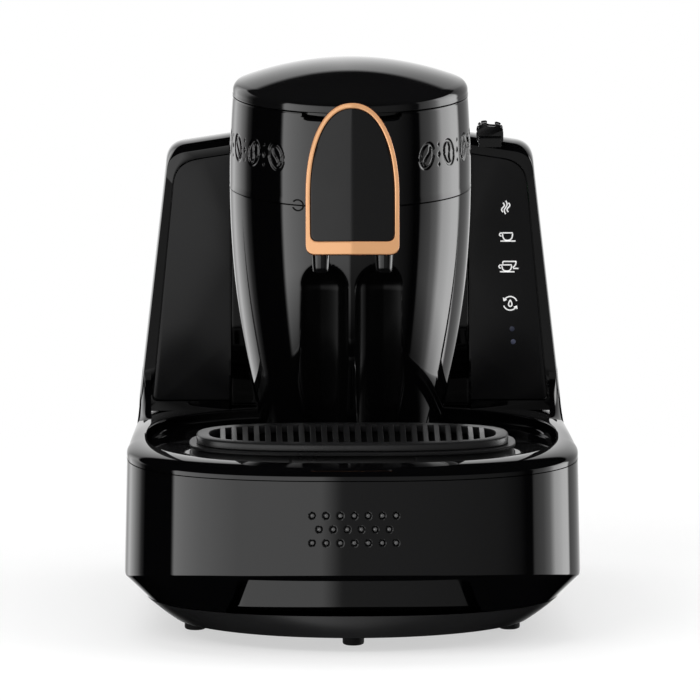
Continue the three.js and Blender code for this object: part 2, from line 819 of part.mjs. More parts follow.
// The main board with its larger parts: relay, capacitors and cooling fin.
function mainBoardBody() {
  const top = boardSeatZ + boardThickness;
  const { left, right, front, back } = mainBoard;
  const [width, depth] = [right - left, back - front];
  const at = (xShare, yShare) => [left + width * xShare, front + depth * yShare];
  const pieces = [box(left, right, front, back, boardSeatZ, top)];
  for (const [xShare, yShare] of capacitorShares) {
    const [x, y] = at(xShare, yShare);
    pieces.push(rod(width / 12, [x, y, top - boardThickness / 2], [x, y, top + mainBoardParts], 12));
  }
  const [x, y] = at(...relayShares);
  pieces.push(box(x - width / 7, x + width / 7, y - depth / 4, y + depth / 4, top - boardThickness / 2,
    top + mainBoardParts));
  return joined(...pieces);
}

function powerSupply() {
  const top = boardSeatZ + boardThickness;
  const { left, right, front, back, height } = supply;
  const inset = 2 * postRadius;
  return joined(
    box(left, right, front, back, boardSeatZ, top),
    raised(roundedRect((right - left) / 2 - inset, (back - front) / 2 - inset, inset,
      (left + right) / 2, (front + back) / 2), top - boardThickness / 2, top + height, 0, 3));
}

function pump() {
  const [x0, x1] = [pumpX - pumpLength / 2, pumpX + pumpLength / 2];
  return joined(
    rod(pumpRadius, [x0, pumpY, pumpZ], [x1, pumpY, pumpZ], 24),
    rod(pumpRadius * pumpCapShare, [x0 - pumpNippleLength / 2, pumpY, pumpZ],
      [x1 + pumpNippleLength / 2, pumpY, pumpZ]),
    rod(pumpNippleRadius, [x0 - pumpNippleLength, pumpY, pumpZ], [x1 + pumpNippleLength, pumpY, pumpZ], 12));
}

// A rubber saddle that stands on the pan and carries one end of the pump.
function pumpMount(side) {
  const x = pumpX + side * (pumpLength / 2 - pumpMountWidth);
  const [half, deep] = [pumpMountWidth / 2, pumpMountDepth / 2];
  const saddle = box(x - half, x + half, pumpY - deep, pumpY + deep, panBottomZ + panFloor + fit, pumpZ);
  const cradle = rod(pumpRadius + fit, [x - pumpLength, pumpY, pumpZ], [x + pumpLength, pumpY, pumpZ], 24);
  return saddle.subtract(cradle);
}

function suctionHose() {
  const endX = pumpX + pumpLength / 2 + pumpNippleLength + fit;
  const topZ = deckTopZ - nozzleLength - fit;
  return hose([
    [nozzleX, nozzleY, topZ], [nozzleX, nozzleY, topZ - 2 * hoseRadius],
    [nozzleX + 4 * hoseRadius, nozzleY - 2 * hoseRadius, (topZ + pumpZ) / 2],
    [endX + 4 * hoseRadius, pumpY + 6 * hoseRadius, pumpZ + 2 * hoseRadius],
    [endX + 4 * hoseRadius, pumpY + 1.5 * hoseRadius, pumpZ], [endX + 2 * hoseRadius, pumpY, pumpZ],
    [endX, pumpY, pumpZ],
  ], hoseRadius, 8, 20);
}

function deliveryHose() {
  const startX = pumpX - pumpLength / 2 - pumpNippleLength - fit;
  const riseY = (spineFrontY + spineBackY) / 2;
  const endY = potMiddleY + potRadiusAt(potInletZ) + nippleLength + fit;
  return hose([
    [startX, pumpY, pumpZ], [startX - 2 * hoseRadius, pumpY, pumpZ],
    [startX - 4 * hoseRadius, pumpY + 2 * hoseRadius, pumpZ + 2 * hoseRadius],
    [0, riseY, pumpZ + 8 * hoseRadius], [0, riseY, (pumpZ + potInletZ) / 2],
    [0, riseY, potInletZ - 5 * hoseRadius], [0, riseY - 1.5 * hoseRadius, potInletZ - hoseRadius],
    [0, spineFrontY + 2 * hoseRadius, potInletZ], [0, endY + hoseRadius, potInletZ], [0, endY, potInletZ],
  ], hoseRadius, 8, 24);
}

// The disc behind the dimples, seated in the collar on the shell's front wall
const buzzerSeatY = bodyWidestY - bodyFrontReach + buzzerPad + shellWall;

function buzzer() {
  const [front, back] = [buzzerSeatY + fit, buzzerSeatY + buzzerDepth];
  const magnetRadius = buzzerRadius * buzzerMagnetShare;
  return turnedBack([
    [0, front], [buzzerRadius, front], [buzzerRadius, back - buzzerDepth / 3],
    [magnetRadius, back - buzzerDepth / 3], [magnetRadius, back], [0, back],
  ], 0, dimpleMiddleZ, 20);
}

// Power switch and cord gland

const sleeveHalfWidth = bezelHalfWidth - bezelSleeve;
const sleeveHalfHeight = bezelHalfHeight - bezelSleeve;
const rockerPivotY = rearFloorY + fit - rockerCrown;

function switchBezel() {
  const [front, back] = [rearFloorY + fit, rearFloorY + fit + bezelFlange];
  const opening = [rockerHalfWidth + fit, rockerHalfHeight + rockerSpread + 2 * fit];
  const frame = facing(roundedRect(bezelHalfWidth, bezelHalfHeight, shellWall, bezelX, bezelZ), front, back, 0, 4);
  const sleeve = facing(roundedRect(sleeveHalfWidth, sleeveHalfHeight, shellWall / 2, bezelX, bezelZ),
    front - bezelDepth, front + bezelFlange / 2, 0, 3);
  const cut = facing(roundedRect(opening[0], opening[1], shellWall / 4, bezelX, bezelZ),
    front - bezelDepth + shellWall / 2, back + overrun, 0, 2);
  const pinHole = rod(rockerPinRadius + fit, [bezelX - rockerHalfWidth - rockerPinLength - 2 * fit, rockerPivotY,
    bezelZ], [bezelX + rockerHalfWidth + rockerPinLength + 2 * fit, rockerPivotY, bezelZ], 16);
  return frame.add(sleeve).subtract(cut).subtract(pinHole);
}

function powerSwitch() {
  const shape = new THREE.Shape();
  shape.moveTo(-rockerCrown / 2, -rockerHalfHeight * rockerBackShare);
  shape.lineTo(rockerCrown + rockerSpread, -rockerHalfHeight);
  shape.quadraticCurveTo(rockerCrown - rockerSpread, 0, rockerCrown + rockerSpread, rockerHalfHeight);
  shape.lineTo(-rockerCrown / 2, rockerHalfHeight * rockerBackShare);
  const turn = new THREE.Matrix4().makeRotationX(rockerRest);
  const wedge = sideways(shape, -rockerHalfWidth, rockerHalfWidth, 5);
  const pins = rod(rockerPinRadius, [-rockerHalfWidth - rockerPinLength, 0, 0],
    [rockerHalfWidth + rockerPinLength, 0, 0], 14);
  const rocker = geometryOf(wedge.add(pins)).applyMatrix4(turn);
  return solid(rocker.translate(bezelX, rockerPivotY, bezelZ));
}

function cordGland() {
  const [front, back] = [rearFloorY + fit, rearFloorY + fit + glandFlange];
  const inner = front - rearPad - shellWall;
  return turnedBack([
    [glandBoreRadius, inner], [glandRadius, inner], [glandRadius, front], [glandFlangeRadius, front],
    [glandFlangeRadius, back], [glandBoreRadius, back], [glandBoreRadius, inner],
  ], glandX, glandZ, 16);
}

// Upper housing: rim, basin, wings and spine

// Right wing seen from the front, drawn in by its own insets.
function wingShape(o) {
  const shape = new THREE.Shape();
  const inner = wingInnerX + o.inner;
  const side = (z) => wingSideX(z) - o.outerBottom
    + (o.outerBottom - o.outerTop) * (z - o.bottomZ) / (wingTopInnerZ - o.bottomZ);
  const topAt = (x) => wingDrop(x) - o.top;
  const cornerZ = topAt(wingTopHalfWidth - o.outerTop);
  const cornerX = side(cornerZ);
  shape.moveTo(inner, o.bottomZ);
  shape.lineTo(side(o.bottomZ) - o.footCorner, o.bottomZ);
  shape.quadraticCurveTo(side(o.bottomZ), o.bottomZ, side(o.bottomZ + o.footCorner), o.bottomZ + o.footCorner);
  shape.lineTo(side(cornerZ - o.corner), cornerZ - o.corner);
  shape.quadraticCurveTo(cornerX, cornerZ, cornerX - o.corner, topAt(cornerX - o.corner));
  shape.lineTo(inner, topAt(inner));
  return shape;
}

const wingOutline = (inset, top, bottomZ) => wingShape({
  inner: inset, outerTop: inset, outerBottom: inset, top, bottomZ, corner: wingCorner, footCorner: 0,
});
const panelOutline = (grow) => wingShape({
  inner: grow > 0 ? -overrun : 0, outerTop: panelOuterInsetTop - grow, outerBottom: panelOuterInsetBottom - grow,
  top: panelTopInset - grow, bottomZ: panelBottomZ - grow, corner: panelCorner, footCorner: panelFootCorner,
});
const mirrored = (solidBody) => solid(geometryOf(solidBody).scale(-1, 1, 1));
const bothSides = (solidBody) => solidBody.add(mirrored(solidBody));

const panelFrontY = wingFrontY + panelSetBack;
const pocketBackY = panelFrontY + panelThickness + fit;
const boardBackY = pocketBackY + boardThickness + fit;
const wingHollowY = boardBackY + shellWall;
const latchNotchZ = latchPinZ - latchEndRadius - fit;
const hollowTopInset = wingTopInnerZ - latchNotchZ + shellWall;

// The concave sweep from the rim up into the wing's outer border.
function flare() {
  const shape = new THREE.Shape();
  const centreY = wingFrontY - flareRadius;
  shape.moveTo(centreY, deckMiddleZ);
  shape.lineTo(wingFrontY + shellWall, deckMiddleZ);
  shape.lineTo(wingFrontY + shellWall, deckTopZ + flareRadius);
  shape.lineTo(wingFrontY, deckTopZ + flareRadius);
  shape.absarc(centreY, deckTopZ + flareRadius, flareRadius, 0, -Math.PI / 2, true);
  const sweep = sideways(shape, flareInnerX, bodyHalfWidth, 8);
  return sweep.intersect(facing(wingOutline(0, 0, bandTopZ), centreY - overrun, wingBackY, 0, 4));
}

const sumpSteps = 28;
const sumpLevels = (grow) => [
  [basinFloorZ - sumpDepth - grow, sumpInset + sumpDraft - grow], [basinFloorZ, sumpInset - grow],
];
const sumpTop = (grow) => [[basinFloorZ + overrun / 2, sumpInset - grow]];

function upperHousing() {
  const rimOuter = stacked(body, [
    [bandTopZ, 0], [bandTopZ + rimFaceHeight, 0], [bandTopZ + (rimFaceHeight + rimCrestHeight) / 2, rimCrestInset / 4],
    [deckTopZ, rimCrestInset],
  ]);
  const rimInner = stacked(body, [[bandTopZ - overrun, shellWall], [deckTopZ - shellWall, shellWall]]);
  const tub = stacked(basin, [[basinFloorZ - shellWall, -shellWall], [deckTopZ - shellWall / 2, -shellWall]]);
  const wellTub = stacked(tray, sumpLevels(2 * fit + shellWall), sumpSteps);
  const basinCut = stacked(basin, [[basinFloorZ, 0], [deckTopZ + overrun, 0]]);
  const wellCut = stacked(tray, [...sumpLevels(2 * fit), ...sumpTop(2 * fit)], sumpSteps);
  const towerSeat = towerStack(basinFloorZ, deckTopZ + overrun, 2 * fit, 1);
  const deck = rimOuter.subtract(rimInner).add(tub).add(wellTub).subtract(joined(basinCut, wellCut, towerSeat));

  const spine = box(-spineHalfWidth, spineHalfWidth, spineFrontY, spineBackY, deckMiddleZ, lowerTowerTopZ);
  const wings = bothSides(facing(wingOutline(0, 0, deckMiddleZ), wingFrontY, wingBackY, wingBevel, 4).add(flare()));
  const hollows = joined(
    box(-spineHalfWidth + shellWall, spineHalfWidth - shellWall, spineFrontY + shellWall, spineBackY - shellWall,
      bandTopZ - overrun, lowerTowerTopZ - shellWall),
    bothSides(facing(wingOutline(shellWall, hollowTopInset, bandTopZ - overrun), wingHollowY,
      wingBackY - shellWall, 0, 3)));
  const touchPocket = facing(roundedRect(touchBoardWidth / 2 + fit, touchBoardHeight / 2 + fit, fit,
    touchBoardX, touchBoardZ), pocketBackY - fit, boardBackY, 0, 2);
  const cuts = joined(
    hollows, bothSides(facing(panelOutline(fit), wingFrontY - overrun, pocketBackY)), touchPocket,
    rod(wireHoleRadius, [0, towerMiddleY, bandTopZ - overrun], [0, towerMiddleY, basinFloorZ + overrun], 16),
    rod(hoseRadius + 2 * fit, [0, spineFrontY - overrun, potInletZ], [0, spineBackY - overrun, potInletZ], 12),
    rod(nozzleRadius + gasketSection + 2 * fit, [nozzleX, nozzleY, bandTopZ - overrun],
      [nozzleX, nozzleY, deckTopZ + overrun], 20),
    box(latchX - latchHalfWidth - latchNotchMargin, latchX + latchHalfWidth + latchNotchMargin,
      wingFrontY - overrun, wingBackY + overrun, latchNotchZ, wingTopInnerZ + overrun));
  return deck.add(spine).add(wings).subtract(cuts);
}

function panel(side, cuts = []) {
  let plate = facing(panelOutline(0), panelFrontY, panelFrontY + panelThickness);
  for (const cut of cuts) plate = plate.subtract(cut);
  return side > 0 ? plate : mirrored(plate);
}

function ledHole(x, z) {
  return rod(ledRadius + fit, [x, panelFrontY - overrun, z], [x, panelFrontY + overrun, z], 12);
}

function led(x, z) {
  const back = pocketBackY;
  return turnedBack([
    [0, panelFrontY], [ledRadius, panelFrontY + ledRadius / 4], [ledRadius, back - fit], [0, back - fit],
  ], x, z, 12);
}

function touchBoard() {
  return facing(roundedRect(touchBoardWidth / 2, touchBoardHeight / 2, fit, touchBoardX, touchBoardZ),
    pocketBackY, pocketBackY + boardThickness, 0, 2);
}

// Tower

// A tall round-topped groove that leans with the tower's front.
function niche(x, radius) {
  const [bottomZ, topZ] = [towerBottomZ - overrun, nicheTopZ - nicheRadius];
  const centreAt = (z) => nicheFaceY(z) + nicheDepth - nicheRadius;
  const [low, high] = [[x, centreAt(towerFootZ), bottomZ], [x, centreAt(topZ), topZ]];
  const top = solid(new THREE.SphereGeometry(radius, 12, 6).rotateX(Math.PI / 2).translate(...high));
  return rod(radius, low, high, 12).add(top);
}

const transferPath = () => {
  const startY = potMiddleY - potRadiusAt(potOutletZ) - nippleLength - fit;
  const wallY = towerFrontY(transferZ);
  const riseY = wallY + towerWall + 2.5 * transferRadius;
  return [
    [0, startY, potOutletZ], [0, startY - 0.7 * transferRadius, potOutletZ],
    [0, riseY + transferRadius, potOutletZ + 1.6 * transferRadius],
    [0, riseY, potOutletZ + 4 * transferRadius], [0, riseY, transferZ - 3.5 * transferRadius],
    [0, riseY - transferRadius, transferZ - transferRadius], [0, wallY + towerWall, transferZ],
    [0, wallY, transferZ], [0, wallY - 2 * transferRadius, transferZ],
  ];
};

function towerLower() {
  const outer = towerStack(towerBottomZ, lowerTowerTopZ, 0);
  const inner = towerStack(towerBottomZ, lowerTowerTopZ, -towerWall)
    .add(towerStack(towerBottomZ - overrun, towerBottomZ, -towerWall, 1))
    .add(towerStack(lowerTowerTopZ, lowerTowerTopZ + overrun, -towerWall, 1));
  const shelf = towerStack(shelfZ, shelfZ + shelfThickness, -towerWall / 2, 1)
    .subtract(rod(shelfHoleRadius, [0, potMiddleY, shelfZ - overrun], [0, potMiddleY, shelfZ + overrun], 20));
  let shell = outer.subtract(inner).add(shelf);
  shell = shell.add(bothSides(niche(nicheX, nicheRadius + towerWall)).intersect(outer));
  const keepFront = box(-bodyHalfWidth, bodyHalfWidth, -bodyHalfWidth, spineFrontY - fit, 0, lidTopZ);
  const cuts = joined(
    bothSides(niche(nicheX, nicheRadius)),
    rod(transferRadius + 2 * fit, [0, towerFrontY(transferZ) - overrun, transferZ],
      [0, towerFrontY(transferZ) + overrun, transferZ], 12));
  return shell.intersect(keepFront).subtract(cuts);
}

// Collar rings: the seams at both ends stand out as a small lip.
function collarBody(grow) {
  const levels = [
    [collarBottomZ, towerLip], [collarBottomZ + towerLipHeight / 2, towerLip], [collarBottomZ + towerLipHeight, 0],
    [(collarBottomZ + collarTopZ) / 2, 0], [collarTopZ - towerLipHeight, 0],
    [collarTopZ - towerLipHeight / 2, towerLip], [collarTopZ, towerLip],
  ];
  return lofted(levels.map(([z, lip]) => towerRing(towerHalfWidth(z), z, lip + grow)));
}

const ledgeTopZ = potFlangeZ - gasketHeight - 2 * fit;
const earSpan = (side) => {
  const start = hingeKnuckleHalf + 1.5 * fit;
  return side > 0 ? [start, start + hingeEarLength] : [-start - hingeEarLength, -start];
};
const hingeRod = (radius, x0, x1) => rod(radius, [x0, hingeY, hingeZ], [x1, hingeY, hingeZ], 16);

function towerUpper() {
  const outer = collarBody(0);
  const inner = towerStack(collarBottomZ, collarTopZ, -towerWall)
    .add(towerStack(collarBottomZ - overrun, collarBottomZ, -towerWall, 1))
    .add(towerStack(collarTopZ, collarTopZ + overrun, -towerWall, 1));
  const ledge = towerStack(ledgeTopZ - ledgeThickness, ledgeTopZ, -towerWall / 2, 1)
    .subtract(rod(potTopRadius + 2 * fit, [0, potMiddleY, ledgeTopZ - overrun],
      [0, potMiddleY, ledgeTopZ + overrun], 24));
  let shell = outer.subtract(inner).add(ledge);
  for (const side of [-1, 1]) {
    const [x0, x1] = earSpan(side);
    shell = shell.add(hingeRod(hingeRadius, x0, x1));
    shell = shell.add(box(x0, x1, hingeY - 2 * hingeRadius, hingeY, hingeZ - 2 * hingeRadius, collarTopZ - fit));
    const pocket = towerStack(collarBottomZ, collarTopZ, -towerWall).intersect(
      box(x0, x1, hingeY - 2 * hingeRadius, hingeY, hingeZ - 2 * hingeRadius - overrun, lidTopZ));
    shell = shell.subtract(pocket);
  }
  const frontY = towerFrontY(collarTopZ) - towerLip;
  const notch = facing(roundedRect(notchHalfWidth, notchHeight, notchHeight / 3, 0, collarTopZ),
    frontY - overrun, frontY + towerLip + notchDepth, 0, 3);
  const knuckleRoom = hingeRod(hingeRadius + 2 * fit, -hingeKnuckleHalf - fit, hingeKnuckleHalf + fit);
  return shell.subtract(joined(notch, knuckleRoom, hingeRod(hingePinRadius + fit, -bodyHalfWidth, bodyHalfWidth)));
}

// Lid profile: a short upright rim, a rounded shoulder and a shallow dome.
function lidBody(inset) {
  const rings = [];
  const rimTop = lidBottomZ + lidRimHeight;
  const rim = towerTopHalfWidth;
  const shoulderX = (turn) => rim - lidShoulder + lidShoulder * Math.cos(turn);
  const shoulderZ = (turn) => rimTop + lidShoulder * Math.sin(turn);
  if (inset === 0) {
    rings.push([rim, lidBottomZ, towerLip], [rim, lidBottomZ + towerLipHeight / 2, towerLip]);
    rings.push([rim, lidBottomZ + towerLipHeight, 0]);
  } else {
    rings.push([rim, lidBottomZ - overrun, -inset]);
  }
  const shoulderSteps = inset === 0 ? 3 : 2;
  for (let i = 0; i <= shoulderSteps; i++) {
    const turn = lidShoulderTurn * i / shoulderSteps;
    rings.push([shoulderX(turn), shoulderZ(turn) - (i ? inset / 2 : 0), -inset]);
  }
  const [edgeX, edgeZ] = [shoulderX(lidShoulderTurn), shoulderZ(lidShoulderTurn)];
  for (const share of lidDomeShares) {
    rings.push([edgeX * share, lidTopZ - (lidTopZ - edgeZ) * share * share - inset, -inset * share]);
  }
  rings.push([edgeX * lidCrownShare, lidTopZ - inset, 0]);
  return lofted(rings.map(([halfWidth, z, grow]) => towerRing(halfWidth, z, grow)));
}

const skirtBottomZ = potFlangeZ + potFlangeThickness + gasketHeight + 2 * fit;
const skirtRadius = potFlangeRadius - fit;

function lid() {
  const outer = lidBody(0);
  const below = box(-bodyHalfWidth, bodyHalfWidth, -bodyHalfWidth, bodyHalfWidth, skirtBottomZ - overrun,
    lidBottomZ + fit);
  const skirt = turned([
    [skirtRadius - lidSkirtWall, skirtBottomZ], [skirtRadius, skirtBottomZ], [skirtRadius, lidTopZ],
    [skirtRadius - lidSkirtWall, lidTopZ], [skirtRadius - lidSkirtWall, skirtBottomZ],
  ], 0, potMiddleY, 24).intersect(lidBody(lidWall / 2).add(below));
  let cover = outer.subtract(lidBody(lidWall)).add(skirt);
  const [x0, x1] = [-hingeKnuckleHalf, hingeKnuckleHalf];
  const tail = box(x0, x1, hingeY - 2 * hingeRadius, hingeY, lidBottomZ, hingeZ + hingeRadius);
  cover = cover.add(hingeRod(hingeRadius, x0, x1)).add(tail);
  cover = cover.subtract(lidBody(lidWall).intersect(
    box(x0, x1, hingeY - 2 * hingeRadius, hingeY, lidBottomZ - overrun, lidTopZ)));
  for (const side of [-1, 1]) {
    const [ear0, ear1] = earSpan(side);
    cover = cover.subtract(hingeRod(hingeRadius + 2 * fit, ear0 - fit, ear1 + fit));
  }
  return cover.subtract(hingeRod(hingePinRadius + fit, -bodyHalfWidth, bodyHalfWidth));
}

function lidGasket() {
  const bottom = skirtBottomZ - fit - gasketHeight;
  const [inner, outer] = [skirtRadius - lidSkirtWall - gasketHeight, skirtRadius];
  return turned([
    [inner, bottom], [outer, bottom], [outer, bottom + gasketHeight], [inner, bottom + gasketHeight],
    [inner, bottom],
  ], 0, potMiddleY, 24);
}

const lidHingePin = () => hingeRod(hingePinRadius, earSpan(-1)[0] + fit, earSpan(1)[1] - fit);

// Brewing pot and heater

function brewPot() {
  const [wall, top] = [potWall, potFlangeZ + potFlangeThickness];
  const pot = turned([
    [0, potBottomZ], [potBottomRadius, potBottomZ], [potWaistRadius, potWaistZ], [potTopRadius, potFlangeZ],
    [potFlangeRadius, potFlangeZ], [potFlangeRadius, top], [potTopRadius - wall, top],
    [potWaistRadius - wall, potWaistZ + wall], [potBottomRadius - wall, potBottomZ + wall], [0, potBottomZ + wall],
  ], 0, potMiddleY, 24);
  const nipple = (side, z, radius) => rod(radius, [0, potMiddleY + side * (potRadiusAt(z) - wall / 2), z],
    [0, potMiddleY + side * (potRadiusAt(z) + nippleLength), z], 10);
  return joined(pot, nipple(-1, potOutletZ, transferRadius), nipple(1, potInletZ, nippleRadius));
}

function potGasket() {
  const bottom = ledgeTopZ + fit;
  const inner = potTopRadius + 2 * fit;
  return turned([
    [inner, bottom], [potFlangeRadius, bottom], [potFlangeRadius, bottom + gasketHeight],
    [inner, bottom + gasketHeight], [inner, bottom],
  ], 0, potMiddleY, 24);
}

const heaterBottomZ = potBottomZ - fit - heaterThickness;

function heatShield() {
  const [low, high] = [shieldBottomZ, shieldBottomZ + shieldHeight];
  const floor = heaterBottomZ - fit;
  const [seat, flare] = [heaterRadius * shieldSeatShare, heaterRadius * shieldFlareShare];
  return turned([
    [heaterBoreRadius, floor - shieldWall], [seat, floor - shieldWall], [flare, low],
    [shieldRadius, low], [shieldRadius, high], [shieldRadius - shieldWall, high],
    [shieldRadius - shieldWall, low + shieldWall], [flare + shieldWall, low + shieldWall],
    [seat + shieldWall, floor], [heaterBoreRadius, floor], [heaterBoreRadius, floor - shieldWall],
  ], 0, potMiddleY, 24);
}

function potHeater() {
  const top = heaterBottomZ + heaterThickness;
  return turned([
    [heaterBoreRadius, heaterBottomZ], [heaterRadius, heaterBottomZ], [heaterRadius, top], [heaterBoreRadius, top],
    [heaterBoreRadius, heaterBottomZ],
  ], 0, potMiddleY, 24);
}

function temperatureSensor() {
  const [low, high] = [heaterBottomZ - heaterThickness / 2, potBottomZ - fit];
  return rod(sensorRadius, [0, potMiddleY, low], [0, potMiddleY, high], 12);
}

// Badge and spout head

// The arch outline, drawn in by its own side, top and bottom widths.
function archShape(side, top, bottom, corner) {
  const shape = new THREE.Shape();
  const half = badgeHalfWidth - side;
  const rise = badgeArch - top;
  const steps = 18;
  shape.moveTo(-half + corner, bottom);
  shape.lineTo(half - corner, bottom);
  shape.quadraticCurveTo(half, bottom, half, bottom + corner);
  for (let i = 0; i <= steps; i++) {
    const turn = Math.PI * i / steps;
    shape.lineTo(half * signedPower(Math.cos(turn), 2 / badgePower),
      badgeStraight + rise * Math.sin(turn) ** (2 / badgePower));
  }
  shape.lineTo(-half, bottom + corner);
  shape.quadraticCurveTo(-half, bottom, -half + corner, bottom);
  return shape;
}

// Carries a shape along the badge's leaning face, between two distances in front of the head.
function onBadge(shape, back, front, bevel = 0) {
  const [s, c] = [Math.sin(badgeLean), Math.cos(badgeLean)];
  const lean = new THREE.Matrix4().makeBasis(
    new THREE.Vector3(1, 0, 0), new THREE.Vector3(0, s, c), new THREE.Vector3(0, -c, s));
  lean.setPosition(0, badgeBottomY, badgeBottomZ);
  return solid(extruded(shape, front - back, bevel, 3).translate(0, 0, back).applyMatrix4(lean));
}

function badgeFrame() {
  const opening = archShape(badgeRimSide, badgeRimTop, badgeRimBottom, badgeInsertCorner);
  return onBadge(archShape(0, 0, 0, badgeCorner), fit, fit + badgeThickness, fit)
    .subtract(onBadge(opening, -overrun, badgeThickness + overrun));
}

function badgeInsert() {
  const shape = archShape(badgeRimSide + fit, badgeRimTop + fit, badgeRimBottom + fit, badgeInsertCorner);
  return onBadge(shape, fit, fit + insertThickness);
}

function spoutHead() {
  const bulk = onBadge(archShape(headInset, headInset, 0, badgeCorner), -badgeArch, 0);
  const above = box(-bodyHalfWidth, bodyHalfWidth, -bodyHalfWidth, towerMiddleY, badgeBottomZ, lidTopZ);
  const tower = towerStack(towerSeamZ - badgeArch, lidSeamZ, towerLip + fit)
    .add(lofted([towerRing(towerTopHalfWidth, lidSeamZ - towerLipHeight, towerLip + 2 * fit),
      towerRing(towerTopHalfWidth, lidTopZ + overrun, towerLip + 2 * fit)]));
  const socket = rod(transferRadius + fit, [0, 0, transferZ], [0, towerFrontY(transferZ) - transferRadius * 2
    - towerLip, transferZ], 12);
  return bulk.intersect(above).subtract(tower).subtract(socket);
}

function spout(x) {
  const top = badgeBottomZ - fit;
  return turned([
    [0, top], [spoutTopRadius, top], [spoutTipRadius, top - spoutLength], [spoutBoreRadius, top - spoutLength],
    [spoutBoreRadius, top - spoutTipRadius], [0, top - spoutTipRadius],
  ], x, spoutY, 20);
}

const transferTube = () => hose(transferPath(), transferRadius, 8, 12);

// Cup platform

const trayBottomZ = basinFloorZ + fit;
const trayTopZ = trayBottomZ + trayRingHeight;
const grilleBottomZ = trayTopZ + fit;
const grilleTopZ = grilleBottomZ + grilleThickness;

function dripTray() {
  const ring = stacked(tray, [
    [trayBottomZ, 0], [trayBottomZ + trayLipHeight, 0], [trayBottomZ + trayLipHeight, trayWaist],
    [trayTopZ - trayLipHeight, trayWaist], [trayTopZ - trayLipHeight, 0], [trayTopZ, 0],
  ], sumpSteps);
  const sump = stacked(tray, [
    [trayBottomZ - sumpDepth, sumpInset + sumpDraft], [trayBottomZ, sumpInset], [trayTopZ - trayWall, sumpInset],
  ], sumpSteps);
  const hollow = stacked(tray, [
    [trayBottomZ - sumpDepth + trayWall, sumpInset + sumpDraft + trayWall], [trayBottomZ, sumpInset + trayWall],
    [trayTopZ, trayRingWidth + trayWall], [trayTopZ + overrun, trayRingWidth + trayWall],
  ], sumpSteps);
  const face = trayMiddleY - trayReach;
  const recess = box(-trayRecessHalfWidth, trayRecessHalfWidth, face - overrun, face + 2 * trayWaist,
    trayBottomZ + trayLipHeight, trayTopZ - trayLipHeight);
  return ring.add(sump).subtract(hollow).subtract(recess);
}

function cupGrille() {
  const plate = stacked(tray, [
    [grilleBottomZ, grilleInset], [grilleTopZ - grilleThickness / 4, grilleInset],
    [grilleTopZ, grilleInset + grilleThickness / 6],
  ]);
  const half = trayHalfWidth - grilleInset - grilleBorder;
  const reach = trayReach - grilleInset - grilleBorder;
  const slots = [];
  for (let i = -slotSide; i <= slotSide; i++) {
    const x = i * slotPitch;
    const run = reach * (1 - Math.abs(x / half) ** trayPower) ** (1 / trayPower);
    if (!(run > slotPitch)) continue;
    slots.push(box(x - slotWidth / 2, x + slotWidth / 2, trayMiddleY - run, trayMiddleY + run,
      grilleBottomZ - overrun, grilleTopZ + overrun));
  }
  return plate.subtract(joined(...slots));
}

// Water tank

const tankBottomZ = deckTopZ + fit;
const tankInnerX = spineHalfWidth + tankInnerGap;
const tankInnerY = spineBackY + tankInnerGap;

// A U in plan, open to the front round the spine.
function tankRing(halfWidth, rearY, inset, z) {
  const steps = 20;
  const points = [];
  const front = tankFrontY + inset;
  for (let i = 0; i <= steps; i++) {
    const turn = Math.PI * i / steps;
    const x = (halfWidth - inset) * signedPower(Math.cos(turn), 2 / tankPower);
    points.push(new THREE.Vector3(x, front + (rearY - inset - front) * Math.sin(turn) ** (2 / tankPower), z));
  }
  const [inX, inY] = [tankInnerX + inset, tankInnerY + inset];
  points.push(new THREE.Vector3(-inX, front, z), new THREE.Vector3(-inX, inY, z));
  points.push(new THREE.Vector3(inX, inY, z), new THREE.Vector3(inX, front, z));
  return points;
}

const tankHingeRod = (radius, x0, x1) =>
  rod(radius, [x0, tankHingeY, tankHingeZ], [x1, tankHingeY, tankHingeZ], 14);
const tankEar = (side) => {
  const start = tankKnuckleHalf + 2 * fit;
  return side > 0 ? [start, start + tankEarLength] : [-start - tankEarLength, -start];
};

function waterTank() {
  const outer = lofted([
    tankRing(tankFootHalfWidth, tankFootRearY, 0, tankBottomZ),
    tankRing(tankTopHalfWidth, tankTopRearY, 0, tankTopZ),
  ]);
  const floorZ = tankBottomZ + tankWall;
  const inner = lofted([
    tankRing(tankFootHalfWidth, tankFootRearY, tankWall, floorZ),
    tankRing(tankTopHalfWidth, tankTopRearY, tankWall, tankTopZ),
    tankRing(tankTopHalfWidth, tankTopRearY, tankWall, tankTopZ + overrun),
  ]);
  let tank = outer.subtract(inner);
  const nozzleEndZ = deckTopZ - nozzleLength;
  tank = tank.add(rod(nozzleRadius, [nozzleX, nozzleY, nozzleEndZ], [nozzleX, nozzleY, floorZ], 20));
  tank = tank.subtract(rod(nozzleBoreRadius, [nozzleX, nozzleY, nozzleEndZ - overrun],
    [nozzleX, nozzleY, floorZ + overrun], 14));
  for (const side of [-1, 1]) {
    const [x0, x1] = tankEar(side);
    const ear = new THREE.Shape();
    ear.moveTo(tankTopRearY - tankWall / 2, tankHingeZ - tankEarDrop);
    ear.lineTo(tankHingeY + tankHingeRadius, tankHingeZ - tankHingeRadius);
    ear.absarc(tankHingeY, tankHingeZ, tankHingeRadius, 0, Math.PI);
    ear.lineTo(tankTopRearY - tankWall / 2, tankTopZ);
    tank = tank.add(sideways(ear, x0, x1, 5));
  }
  return tank.subtract(tankHingeRod(tankPinRadius + fit, -tankFootHalfWidth, tankFootHalfWidth));
}

const tankLidBottomZ = tankTopZ + fit;
const tongueHalfWidth = latchHalfWidth - latchCheek - fit;

